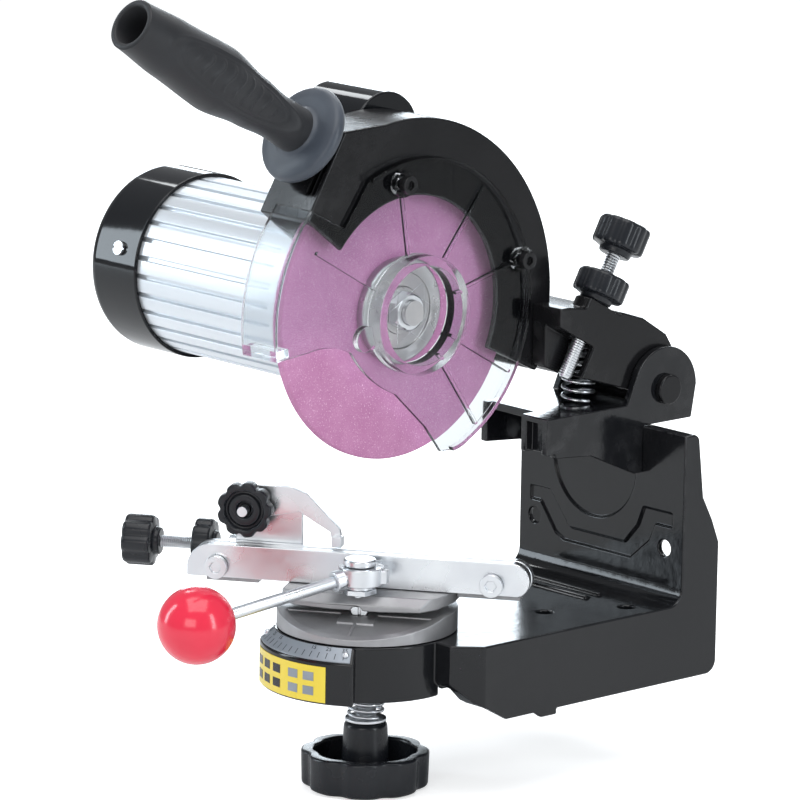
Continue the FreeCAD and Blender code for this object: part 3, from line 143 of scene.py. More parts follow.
# ------------------------------------------------------------------ shader groups
class ShaderGroups:
    """Shared patterns, each built once and placed in the materials."""

    def __init__(self) -> None:
        """Build the groups."""
        self.grain = self._grain()
        self.wear = self._wear()
        self.dust = self._dust()

    @staticmethod
    def _start(name: str, inputs: dict[str, float],
               outputs: list[str]) -> tuple[Tree, dict[str, Socket], Node]:
        """Make an empty group with a vector and number inputs.

        Args:
            name: The group's name.
            inputs: Number inputs and their usual values.
            outputs: Names of the number outputs.

        Returns:
            The tree, its input sockets by name, and its output node.
        """
        tree = bpy.data.node_groups.new(name, "ShaderNodeTree")
        tree.interface.new_socket("Vector", in_out="INPUT", socket_type="NodeSocketVector")
        for label, value in inputs.items():
            socket = tree.interface.new_socket(label, in_out="INPUT", socket_type="NodeSocketFloat")
            socket.default_value = value
        for label in outputs:
            tree.interface.new_socket(label, in_out="OUTPUT", socket_type="NodeSocketFloat")
        entry = tree.nodes.new("NodeGroupInput")
        leave = tree.nodes.new("NodeGroupOutput")
        return tree, {socket.name: socket for socket in entry.outputs}, leave

    @staticmethod
    def _noise(tree: Tree, vector: Socket, scale: Socket, factor: float, detail: float) -> Socket:
        """Add a noise whose scale is an input times a factor.

        Args:
            tree: The group's tree.
            vector: Where the noise is read.
            scale: The scale input.
            factor: What the scale is multiplied by.
            detail: Levels of detail.

        Returns:
            The noise value.
        """
        times = tree.nodes.new("ShaderNodeMath")
        times.operation = "MULTIPLY"
        times.inputs[1].default_value = factor
        tree.links.new(scale, times.inputs[0])
        noise = tree.nodes.new("ShaderNodeTexNoise")
        noise.inputs["Detail"].default_value = detail
        tree.links.new(vector, noise.inputs["Vector"])
        tree.links.new(times.outputs[0], noise.inputs["Scale"])
        return noise.outputs[0]

    @staticmethod
    def _math(tree: Tree, kind: str, first: Socket, second: Socket | float) -> Socket:
        """Join two values with a given operation.

        Args:
            tree: The group's tree.
            kind: The operation.
            first: First value.
            second: Second value, a socket or a number.

        Returns:
            The result.
        """
        node = tree.nodes.new("ShaderNodeMath")
        node.operation = kind
        tree.links.new(first, node.inputs[0])
        if isinstance(second, float):
            node.inputs[1].default_value = second
        else:
            tree.links.new(second, node.inputs[1])
        return node.outputs[0]

    @staticmethod
    def _range(tree: Tree, value: Socket, low: float, high: float) -> Socket:
        """Spread a band of a value over 0 to 1.

        Args:
            tree: The group's tree.
            value: The value.
            low: Where the result is 0.
            high: Where the result is 1.

        Returns:
            The spread value.
        """
        node = tree.nodes.new("ShaderNodeMapRange")
        node.inputs["From Min"].default_value = low
        node.inputs["From Max"].default_value = high
        tree.links.new(value, node.inputs["Value"])
        return node.outputs[0]

    def _grain(self) -> Tree:
        """Fine surface grain with a slow change of tone."""
        tree, get, leave = self._start("surface grain", {"Scale": 400.0}, ["Height", "Tone"])
        fine = self._noise(tree, get["Vector"], get["Scale"], 1.0, 4.0)
        broad = self._noise(tree, get["Vector"], get["Scale"], 0.07, 3.0)
        tree.links.new(fine, leave.inputs["Height"])
        tree.links.new(self._range(tree, broad, 0.3, 0.7), leave.inputs["Tone"])
        return tree

    def _wear(self) -> Tree:
        """Rubbed edges, broken up by a noise."""
        tree, get, leave = self._start("rubbed edges", {"Scale": 120.0, "Amount": 0.5}, ["Mask"])
        shape = tree.nodes.new("ShaderNodeNewGeometry")
        edge = self._range(tree, shape.outputs["Pointiness"], 0.53, 0.62)
        patch = self._range(tree, self._noise(tree, get["Vector"], get["Scale"], 1.0, 5.0), 0.42, 0.66)
        both = self._math(tree, "MULTIPLY", edge, patch)
        tree.links.new(self._math(tree, "MULTIPLY", both, get["Amount"]), leave.inputs["Mask"])
        return tree

    def _dust(self) -> Tree:
        """Fine dust that settles on faces that look up."""
        tree, get, leave = self._start("settled dust", {"Scale": 60.0, "Amount": 0.2}, ["Mask"])
        shape = tree.nodes.new("ShaderNodeNewGeometry")
        split = tree.nodes.new("ShaderNodeSeparateXYZ")
        tree.links.new(shape.outputs["Normal"], split.inputs[0])
        up = self._range(tree, split.outputs["Z"], 0.35, 0.95)
        patch = self._range(tree, self._noise(tree, get["Vector"], get["Scale"], 1.0, 6.0), 0.35, 0.75)
        both = self._math(tree, "MULTIPLY", up, patch)
        tree.links.new(self._math(tree, "MULTIPLY", both, get["Amount"]), leave.inputs["Mask"])
        return tree


# ------------------------------------------------------------------ finishes
@dataclass(frozen=True)
class Finish:
    """A painted, moulded or plated surface."""

    look: Look
    colour: Colour
    tone: Colour
    roughness: float
    spread: float = 0.06
    metallic: float = 0.0
    grain: float = 600.0
    relief: float = 0.02
    stretch: Colour = (1.0, 1.0, 1.0)
    wear: float = 0.0
    wear_colour: Colour = (0.45, 0.45, 0.46)
    dust: float = 0.0
    coat: float = 0.0
    sheen: float = 0.0
    shine: float = 0.5

    @staticmethod
    def _mix(tree: Tree, mask: Socket, first: Socket | Colour, second: Colour) -> Socket:
        """Blend two colours by a mask.

        Args:
            tree: The material's tree.
            mask: How much of the second colour shows.
            first: First colour or socket.
            second: Second colour.

        Returns:
            The blended colour.
        """
        node = tree.nodes.new("ShaderNodeMix")
        node.data_type = "RGBA"
        tree.links.new(mask, node.inputs["Factor"])
        if isinstance(first, tuple):
            node.inputs[6].default_value = (*first, 1.0)
        else:
            tree.links.new(first, node.inputs[6])
        node.inputs[7].default_value = (*second, 1.0)
        return node.outputs[2]

    @staticmethod
    def _line(tree: Tree, value: Socket, low: float, high: float) -> Socket:
        """Turn 0 to 1 into a band of values.

        Args:
            tree: The material's tree.
            value: The value.
            low: Result at 0.
            high: Result at 1.

        Returns:
            The new value.
        """
        node = tree.nodes.new("ShaderNodeMapRange")
        node.inputs["To Min"].default_value = low
        node.inputs["To Max"].default_value = high
        tree.links.new(value, node.inputs["Value"])
        return node.outputs[0]

    @staticmethod
    def _place(tree: Tree, group: Tree, vector: Socket, values: dict[str, float]) -> Node:
        """Put a shared group in a material.

        Args:
            tree: The material's tree.
            group: The shared group.
            vector: Where it is read.
            values: Values of its inputs.

        Returns:
            The group's node.
        """
        node = tree.nodes.new("ShaderNodeGroup")
        node.node_tree = group
        tree.links.new(vector, node.inputs["Vector"])
        for label, value in values.items():
            node.inputs[label].default_value = value
        return node

    def _where(self, tree: Tree) -> Socket:
        """Object coordinates, stretched for brushed or drawn surfaces."""
        place = tree.nodes.new("ShaderNodeTexCoord")
        stretch = tree.nodes.new("ShaderNodeMapping")
        stretch.inputs["Scale"].default_value = self.stretch
        tree.links.new(place.outputs["Object"], stretch.inputs["Vector"])
        return stretch.outputs[0]

    def _base(self, tree: Tree, where: Socket, tone: Socket) -> Socket:
        """Base colour before wear and dust.

        Args:
            tree: The material's tree.
            where: Object coordinates.
            tone: Slow change of tone from 0 to 1.

        Returns:
            The colour.
        """
        return self._mix(tree, tone, self.colour, self.tone)

    def _shader(self, tree: Tree) -> Node:
        """The Principled shader with its fixed values set."""
        shader = tree.nodes["Principled BSDF"]
        shader.inputs["Metallic"].default_value = self.metallic
        shader.inputs["Coat Weight"].default_value = self.coat
        shader.inputs["Coat Roughness"].default_value = COAT_ROUGHNESS
        shader.inputs["Sheen Weight"].default_value = self.sheen
        shader.inputs["Specular IOR Level"].default_value = self.shine
        return shader

    def material(self, groups: ShaderGroups) -> Material:
        """Build the node material.

        Args:
            groups: The shared shader groups.

        Returns:
            The material.
        """
        made = bpy.data.materials.new(self.look.value)
        made.use_nodes = True
        tree = made.node_tree
        shader = self._shader(tree)
        where = self._where(tree)
        grain = self._place(tree, groups.grain, where, {"Scale": self.grain})
        colour = self._base(tree, where, grain.outputs["Tone"])
        low, high = self.roughness - self.spread, self.roughness + self.spread
        rough = self._line(tree, grain.outputs["Tone"], low, high)
        if self.wear > 0.0:
            worn = self._place(tree, groups.wear, where, {"Amount": self.wear})
            colour = self._mix(tree, worn.outputs["Mask"], colour, self.wear_colour)
        if self.dust > 0.0:
            dusty = self._place(tree, groups.dust, where, {"Amount": self.dust})
            colour = self._mix(tree, dusty.outputs["Mask"], colour, DUST_COLOUR)
            add = tree.nodes.new("ShaderNodeMath")
            add.operation = "ADD"
            tree.links.new(rough, add.inputs[0])
            tree.links.new(dusty.outputs["Mask"], add.inputs[1])
            rough = add.outputs[0]
        bump = tree.nodes.new("ShaderNodeBump")
        bump.inputs["Distance"].default_value = self.relief * MM
        tree.links.new(grain.outputs["Height"], bump.inputs["Height"])
        tree.links.new(bump.outputs[0], shader.inputs["Normal"])
        tree.links.new(colour, shader.inputs["Base Color"])
        tree.links.new(rough, shader.inputs["Roughness"])
        return made


@dataclass(frozen=True)
class AbrasiveFinish(Finish):
    """Bonded grit with light and dark specks."""

    specks: tuple[tuple[float, Colour, float, float], ...] = (
        (0.0, (0.86, 0.6, 0.77), 0.62, 0.8), (3.7, (0.33, 0.1, 0.24), 0.64, 0.84))
    speck_scale: float = 1500.0

    def _base(self, tree: Tree, where: Socket, tone: Socket) -> Socket:
        """Base colour of grit, see Finish."""
        base = self._mix(tree, tone, self.colour, self.tone)
        for offset, colour, low, high in self.specks:
            move = tree.nodes.new("ShaderNodeMapping")
            move.inputs["Location"].default_value = (offset, offset, offset)
            tree.links.new(where, move.inputs["Vector"])
            noise = tree.nodes.new("ShaderNodeTexNoise")
            noise.inputs["Scale"].default_value = self.speck_scale
            noise.inputs["Detail"].default_value = 1.0
            tree.links.new(move.outputs[0], noise.inputs["Vector"])
            speck = tree.nodes.new("ShaderNodeMapRange")
            speck.inputs["From Min"].default_value = low
            speck.inputs["From Max"].default_value = high
            tree.links.new(noise.outputs[0], speck.inputs["Value"])
            base = self._mix(tree, speck.outputs[0], base, colour)
        return base


@dataclass(frozen=True)
class ClearFinish(Finish):
    """Clear moulded plastic that lets light through."""

    bend: float = 1.3
    shadow_tint: Colour = (0.86, 0.88, 0.9)

    def _shader(self, tree: Tree) -> Node:
        """Transmissive shader that keeps its shadows light."""
        shader = super()._shader(tree)
        shader.inputs["Transmission Weight"].default_value = 1.0
        shader.inputs["IOR"].default_value = self.bend
        leave = tree.nodes["Material Output"]
        paths = tree.nodes.new("ShaderNodeLightPath")
        through = tree.nodes.new("ShaderNodeBsdfTransparent")
        through.inputs["Color"].default_value = (*self.shadow_tint, 1.0)
        mix = tree.nodes.new("ShaderNodeMixShader")
        tree.links.new(paths.outputs["Is Shadow Ray"], mix.inputs[0])
        tree.links.new(shader.outputs[0], mix.inputs[1])
        tree.links.new(through.outputs[0], mix.inputs[2])
        tree.links.new(mix.outputs[0], leave.inputs["Surface"])
        return shader


FINISHES: tuple[Finish, ...] = (
    Finish(Look.BLACK_PAINT, (0.006, 0.0065, 0.008), (0.009, 0.0095, 0.011), 0.13, 0.05, grain=160.0,
           relief=0.09, wear=0.1, dust=0.02, shine=0.36),
    Finish(Look.BLACK_CAST, (0.006, 0.006, 0.0068), (0.009, 0.009, 0.01), 0.2, 0.07, grain=420.0,
           relief=0.05, wear=0.12, dust=0.02, shine=0.26),
    Finish(Look.BLACK_PLASTIC, (0.011, 0.0125, 0.016), (0.015, 0.0165, 0.02), 0.26, 0.06, grain=900.0,
           relief=0.015, wear=0.08, dust=0.03, shine=0.35),
    Finish(Look.BLACK_CAP, (0.005, 0.0055, 0.007), (0.007, 0.008, 0.01), 0.08, 0.03, grain=180.0,
           relief=0.02, shine=0.35),
    Finish(Look.ZINC, (0.76, 0.78, 0.8), (0.7, 0.72, 0.75), 0.3, 0.07, metallic=1.0, grain=700.0,
           relief=0.012, wear=0.1, wear_colour=(0.5, 0.5, 0.5)),
    Finish(Look.STEEL, (0.56, 0.55, 0.55), (0.46, 0.46, 0.47), 0.32, 0.08, metallic=1.0, grain=900.0,
           relief=0.02),
    Finish(Look.GREY_CAST, (0.36, 0.36, 0.37), (0.29, 0.29, 0.3), 0.42, 0.07, metallic=0.7, grain=900.0,
           relief=0.05, wear=0.35, wear_colour=(0.7, 0.7, 0.71), dust=0.05),
    Finish(Look.MOTOR, (0.74, 0.78, 0.82), (0.66, 0.7, 0.74), 0.36, 0.07, metallic=0.45, grain=800.0,
           relief=0.02, stretch=(0.08, 1.0, 1.0)),
    Finish(Look.SCALE, (0.3, 0.33, 0.37), (0.25, 0.28, 0.31), 0.38, 0.06, metallic=0.5, grain=900.0,
           relief=0.02),
    Finish(Look.LABEL, (0.84, 0.66, 0.05), (0.8, 0.62, 0.04), 0.3, 0.05, grain=500.0, relief=0.01, coat=0.3),
    ClearFinish(Look.CLEAR, (0.84, 0.865, 0.88), (0.8, 0.825, 0.84), 0.1, 0.03, grain=120.0, relief=0.03),
    AbrasiveFinish(Look.WHEEL, (0.52, 0.225, 0.4), (0.47, 0.19, 0.355), 0.85, 0.06, grain=1400.0,
                   relief=0.22),
    Finish(Look.RUBBER, (0.012, 0.0125, 0.015), (0.017, 0.018, 0.021), 0.48, 0.07, grain=1200.0,
           relief=0.04, dust=0.05, sheen=0.08, shine=0.35),
    # Hand guard: the lighter blue-grey colour is a painted sky reflection on black rubber.
    Finish(Look.GUARD, (0.035, 0.044, 0.06), (0.045, 0.056, 0.075), 0.42, 0.07, grain=1200.0,
           relief=0.03, dust=0.05, sheen=0.1),
    Finish(Look.WINDING, (0.5, 0.22, 0.1), (0.4, 0.17, 0.08), 0.35, 0.08, metallic=0.8, grain=900.0,
           relief=0.2),
    Finish(Look.ROCKER, (0.5, 0.01, 0.01), (0.45, 0.01, 0.01), 0.25, 0.05, grain=400.0, relief=0.01),
    Finish(Look.BALL, (0.82, 0.03, 0.07), (0.76, 0.025, 0.06), 0.2, 0.05, grain=300.0, relief=0.02, coat=0.2),
)


@dataclass(frozen=True)
class Palette:
    """The materials by finish."""

    materials: dict[Look, Material]

    def __getitem__(self, look: Look) -> Material:
        """The material of a finish."""
        return self.materials[look]


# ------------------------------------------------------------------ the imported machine
@dataclass
class Machine:
    """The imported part, with its measures and its joints."""

    nodes: dict[str, Piece]
    joints: dict[str, dict]
    slots: dict[str, str]
    palette: Palette

    def axis(self, joint: str) -> Vector:
        """Unit direction of a joint."""
        return Vector(self.joints[joint]["axis"]).normalized()

    def pivot(self, joint: str) -> Vector:
        """Point that a hinge turns about."""
        return Vector(self.joints[joint]["pos_m"])

    def middle(self, node: str) -> Vector:
        """Centre of a node's box."""
        low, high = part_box(node)
        return (low + high) / 2.0

    def span(self, node: str, start: Vector, axis: Vector) -> tuple[float, float, float]:
        """Reach of a node along a line and away from it.

        Args:
            node: The node.
            start: A point on the line.
            axis: The line's direction.

        Returns:
            Lowest and highest place along the line, and the largest distance from it.
        """
        lows, highs, far = math.inf, -math.inf, 0.0
        for vertex in self.nodes[node].data.vertices:
            step = vertex.co - start
            along = step.dot(axis)
            lows = min(lows, along)
            highs = max(highs, along)
            far = max(far, (step - axis * along).length)
        return lows, highs, far

    def end_centre(self, node: str, axis: Vector, reach: float = 0.0002) -> Vector:
        """Middle of a node's far end along a direction.

        Args:
            node: The node.
            axis: The direction.
            reach: How deep the end is taken.

        Returns:
            The point.
        """
        points = [vertex.co for vertex in self.nodes[node].data.vertices]
        top = max(point.dot(axis) for point in points)
        end = [point for point in points if point.dot(axis) > top - reach]
        low = Vector([min(point[i] for point in end) for i in range(3)])
        high = Vector([max(point[i] for point in end) for i in range(3)])
        return (low + high) / 2.0

    def add(self, piece: Piece, *nodes: str) -> Piece:
        """Let a piece stand for nodes and ride with them.

        Args:
            piece: The piece.
            nodes: The nodes it stands for.

        Returns:
            The piece.
        """
        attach(piece, self.nodes[nodes[0]]["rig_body"])
        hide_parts(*nodes)
        log.info("%s stands for %s, %d faces", piece.name, ", ".join(nodes), len(piece.data.polygons))
        return piece

    def attach(self, piece: Piece, node: str, look: Look) -> Piece:
        """Let an extra piece ride with a node's body.

        Args:
            piece: The piece.
            node: A node of the body.
            look: The piece's finish; not used.

        Returns:
            The piece.
        """
        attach(piece, self.nodes[node]["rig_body"])
        log.info("%s rides with %s, %d faces", piece.name, node, len(piece.data.polygons))
        return piece


# ------------------------------------------------------------------ mesh helpers
def new_piece(name: str, mesh: Mesh, material: Material, smooth: float = EDGE_SHADING) -> Piece:
    """Make an object from a mesh in its place.

    Args:
        name: The piece's name.
        mesh: Its mesh, in the part's frame.
        material: Its material.
        smooth: Edges flatter than this many degrees are shaded smooth.

    Returns:
        The object.
    """
    if not mesh.materials:
        mesh.materials.append(material)
    mesh.shade_smooth()
    mesh.set_sharp_from_angle(angle=math.radians(smooth))
    piece = bpy.data.objects.new(name, mesh)
    bpy.context.scene.collection.objects.link(piece)
    return piece


def toward(axis: Vector, start: Vector, side: Vector | None = None) -> Matrix:
    """Matrix that puts local Z on an axis and the origin on a point.

    Args:
        axis: The direction of local Z.
        start: The new origin.
        side: A direction near local X, or none for any.

    Returns:
        The matrix.
    """
    z = axis.normalized()
    guess = side if side is not None else Vector((1, 0, 0)) if abs(z.x) < 0.9 else Vector((0, 1, 0))
    x = (guess - z * guess.dot(z)).normalized()
    y = z.cross(x)
    turn = Matrix((x, y, z)).transposed().to_4x4()
    return Matrix.Translation(start) @ turn


def mesh_of(verts: list[Vector], faces: list[tuple[int, ...]], place: Matrix) -> Mesh:
    """Mesh with merged seams and outward faces, moved to its place.

    Args:
        verts: Points in local coordinates.
        faces: Faces by point number.
        place: The move to the part's frame.

    Returns:
        The mesh.
    """
    mesh = bpy.data.meshes.new("shape")
    mesh.from_pydata(verts, [], faces)
    work = bmesh.new()
    work.from_mesh(mesh)
    bmesh.ops.remove_doubles(work, verts=work.verts, dist=1e-6)
    bmesh.ops.recalc_face_normals(work, faces=work.faces)
    bmesh.ops.transform(work, matrix=place, verts=work.verts)
    work.to_mesh(mesh)
    work.free()
    return mesh


@dataclass
class Turning:
    """A closed profile swept round local Z, with lobes where the profile says so.

    The profile holds (radius, height, lobe weight) points in millimetres.
    """

    profile: list[tuple[float, float, float]]
    lobes: int = 0
    depth: float = 0.0
    sides: int = 96
    sharpness: float = 1.6

    def factor(self, angle: float, weight: float) -> float:
        """Scale of the radius at an angle."""
        if not self.lobes:
            return 1.0
        notch = (0.5 - 0.5 * math.cos(self.lobes * angle)) ** self.sharpness
        return 1.0 - self.depth * weight * notch

    def mesh(self, place: Matrix) -> Mesh:
        """Sweep the profile.

        Args:
            place: The move to the part's frame.

        Returns:
            The mesh.
        """
        verts: list[Vector] = []
        for side in range(self.sides):
            angle = 2.0 * math.pi * side / self.sides
            for radius, height, weight in self.profile:
                reach = radius * self.factor(angle, weight) * MM
                verts.append(Vector((reach * math.cos(angle), reach * math.sin(angle), height * MM)))
        count = len(self.profile)
        faces = []
        for side in range(self.sides):
            here = side * count
            there = ((side + 1) % self.sides) * count
            for step in range(count - 1):
                faces.append((here + step, there + step, there + step + 1, here + step + 1))
        return mesh_of(verts, faces, place)


def rounded(points: list[tuple[float, float]], radius: float, steps: int = 3) -> list[tuple[float, float]]:
    """Round the inner corners of an open profile.

    Args:
        points: Corner points.
        radius: Corner radius, cut down where a run is short.
        steps: Points added on each corner.

    Returns:
        The rounded profile.
    """
    result = [points[0]]
    for index in range(1, len(points) - 1):
        before, here, after = (Vector(points[index + k]) for k in (-1, 0, 1))
        back = before - here
        ahead = after - here
        size = min(radius, back.length * 0.45, ahead.length * 0.45)
        if size < 1e-4:
            result.append(points[index])
            continue
        first = here + back.normalized() * size
        last = here + ahead.normalized() * size
        for step in range(steps + 1):
            t = step / steps
            spot = first * (1 - t) ** 2 + here * 2 * t * (1 - t) + last * t ** 2
            result.append((spot.x, spot.y))
    result.append(points[-1])
    return result


def softened(machine: Machine, node: str, look: Look, bevel: float, segments: int = 2,
             angle: float = 32.0) -> Piece:
    """Copy a frame node with its sharp corners broken.

    Args:
        machine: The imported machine.
        node: The node.
        look: The piece's finish.
        bevel: Width of the broken corner in millimetres.
        segments: Steps across the corner.
        angle: Edges sharper than this many degrees are broken.

    Returns:
        The new piece, standing for the node.
    """
    mesh = machine.nodes[node].data.copy()
    mesh.materials.clear()
    work = bmesh.new()
    work.from_mesh(mesh)
    bmesh.ops.remove_doubles(work, verts=work.verts, dist=2e-6)
    bmesh.ops.dissolve_limit(work, angle_limit=math.radians(0.5), verts=work.verts, edges=work.edges)
    work.to_mesh(mesh)
    work.free()
    if "custom_normal" in mesh.attributes:
        mesh.attributes.remove(mesh.attributes["custom_normal"])
    mesh.materials.append(machine.palette[look])
    mesh.shade_smooth()
    piece = bpy.data.objects.new(node + "_finished", mesh)
    bpy.context.scene.collection.objects.link(piece)
    corner = piece.modifiers.new("corners", "BEVEL")
    corner.width = bevel * MM
    corner.segments = segments
    corner.limit_method = "ANGLE"
    corner.angle_limit = math.radians(angle)
    corner.use_clamp_overlap = False
    corner.miter_outer = "MITER_ARC"
    flat = piece.modifiers.new("flat faces", "WEIGHTED_NORMAL")
    flat.mode = "FACE_AREA"
    flat.weight = 60
    return machine.add(piece, node)


# ------------------------------------------------------------------ geometry trees
class GeometryTree:
    """Small helper that builds a geometry node tree with named inputs."""

    def __init__(self, name: str) -> None:
        """Start an empty tree."""
        self.tree = bpy.data.node_groups.new(name, "GeometryNodeTree")
        self.tree.interface.new_socket("Geometry", in_out="OUTPUT", socket_type="NodeSocketGeometry")
        self.entry = self.tree.nodes.new("NodeGroupInput")
        self.leave = self.tree.nodes.new("NodeGroupOutput")

    def size(self, name: str, kind: str = "NodeSocketFloat") -> Socket:
        """Add a named input.

        Args:
            name: The input's name.
            kind: Its socket type.

        Returns:
            The socket to link from.
        """
        self.tree.interface.new_socket(name, in_out="INPUT", socket_type=kind)
        return self.entry.outputs[name]

    def add(self, kind: str, links: dict[str | int, object], **settings: object) -> Node:
        """Add a node.

        Args:
            kind: The node's type.
            links: Input name or number to a socket or a value.
            settings: Properties of the node.

        Returns:
            The node.
        """
        node = self.tree.nodes.new(kind)
        for name, value in settings.items():
            setattr(node, name, value)
        for name, value in links.items():
            if isinstance(value, Socket):
                self.tree.links.new(value, node.inputs[name])
            else:
                node.inputs[name].default_value = value
        return node

    def finish(self, geometry: Socket, material: Socket) -> Tree:
        """End the tree with real geometry and its material.

        Args:
            geometry: What the tree made.
            material: The material input.

        Returns:
            The tree.
        """
        real = self.add("GeometryNodeRealizeInstances", {"Geometry": geometry})
        dressed = self.add("GeometryNodeSetMaterial", {"Geometry": real.outputs[0], "Material": material})
        self.tree.links.new(dressed.outputs[0], self.leave.inputs[0])
        return self.tree


def coil_tree() -> Tree:
    """Wire wound on a helix: springs and screw threads."""
    made = GeometryTree("wound wire")
    turns, length, radius, wire = (made.size(name) for name in ("Turns", "Length", "Radius", "Wire"))
    sides = made.size("Sides", "NodeSocketInt")
    steps = made.size("Steps", "NodeSocketInt")
    material = made.size("Material", "NodeSocketMaterial")
    spiral = made.add("GeometryNodeCurveSpiral", {
        "Resolution": steps, "Rotations": turns, "Start Radius": radius, "End Radius": radius,
        "Height": length})
    upright = made.add("GeometryNodeSetCurveNormal", {"Curve": spiral.outputs[0]}, mode="Z_UP")
    circle = made.add("GeometryNodeCurvePrimitiveCircle", {"Resolution": sides, "Radius": wire})
    tube = made.add("GeometryNodeCurveToMesh", {
        "Curve": upright.outputs[0], "Profile Curve": circle.outputs[0], "Fill Caps": True})
    return made.finish(tube.outputs[0], material)


def arc_tree() -> Tree:
    """Blocks set out on an arc: scale marks, printed bars and ribs."""
    made = GeometryTree("blocks on an arc")
    count = made.size("Count", "NodeSocketInt")
    names = ("First", "Step", "Radius", "Rise", "Slope", "Length", "Width", "Depth")
    first, step, radius, rise, slope, length, width, depth = (made.size(name) for name in names)
    material = made.size("Material", "NodeSocketMaterial")
    points = made.add("GeometryNodeMeshLine", {"Count": count, "Offset": (0.0, 0.0, 0.0)})
    index = made.add("GeometryNodeInputIndex", {})
    turn = made.add("ShaderNodeMath", {0: index.outputs[0], 1: step, 2: first}, operation="MULTIPLY_ADD")
    spot = made.add("ShaderNodeCombineXYZ", {"X": radius, "Z": rise})
    around = made.add("ShaderNodeVectorRotate", {"Vector": spot.outputs[0], "Angle": turn.outputs[0]},
                      rotation_type="Z_AXIS")
    placed = made.add("GeometryNodeSetPosition", {
        "Geometry": points.outputs[0], "Position": around.outputs[0]})
    size = made.add("ShaderNodeCombineXYZ", {"X": length, "Y": width, "Z": depth})
    block = made.add("GeometryNodeMeshCube", {"Size": size.outputs[0]})
    angles = made.add("ShaderNodeCombineXYZ", {"Y": slope, "Z": turn.outputs[0]})
    facing = made.add("FunctionNodeEulerToRotation", {0: angles.outputs[0]})
    copies = made.add("GeometryNodeInstanceOnPoints", {
        "Points": placed.outputs[0], "Instance": block.outputs[0], "Rotation": facing.outputs[0]})
    return made.finish(copies.outputs[0], material)


def grown(tree: Tree, values: dict[str, object], place: Matrix) -> Mesh:
    """Run a geometry tree and keep its plain mesh.

    Args:
        tree: The tree.
        values: Its inputs by name.
        place: The move to the part's frame.

    Returns:
        The mesh, in the part's frame.
    """
    holder = bpy.data.objects.new("holder", bpy.data.meshes.new("holder"))
    bpy.context.scene.collection.objects.link(holder)
    grow = holder.modifiers.new("grow", "NODES")
    grow.node_group = tree
    for item in tree.interface.items_tree:
        if item.item_type == "SOCKET" and item.in_out == "INPUT":
            grow[item.identifier] = values[item.name]
    bpy.context.view_layer.update()
    seen = holder.evaluated_get(bpy.context.evaluated_depsgraph_get())
    mesh = bpy.data.meshes.new_from_object(seen)
    bpy.data.objects.remove(holder)
    mesh.transform(place)
    return mesh


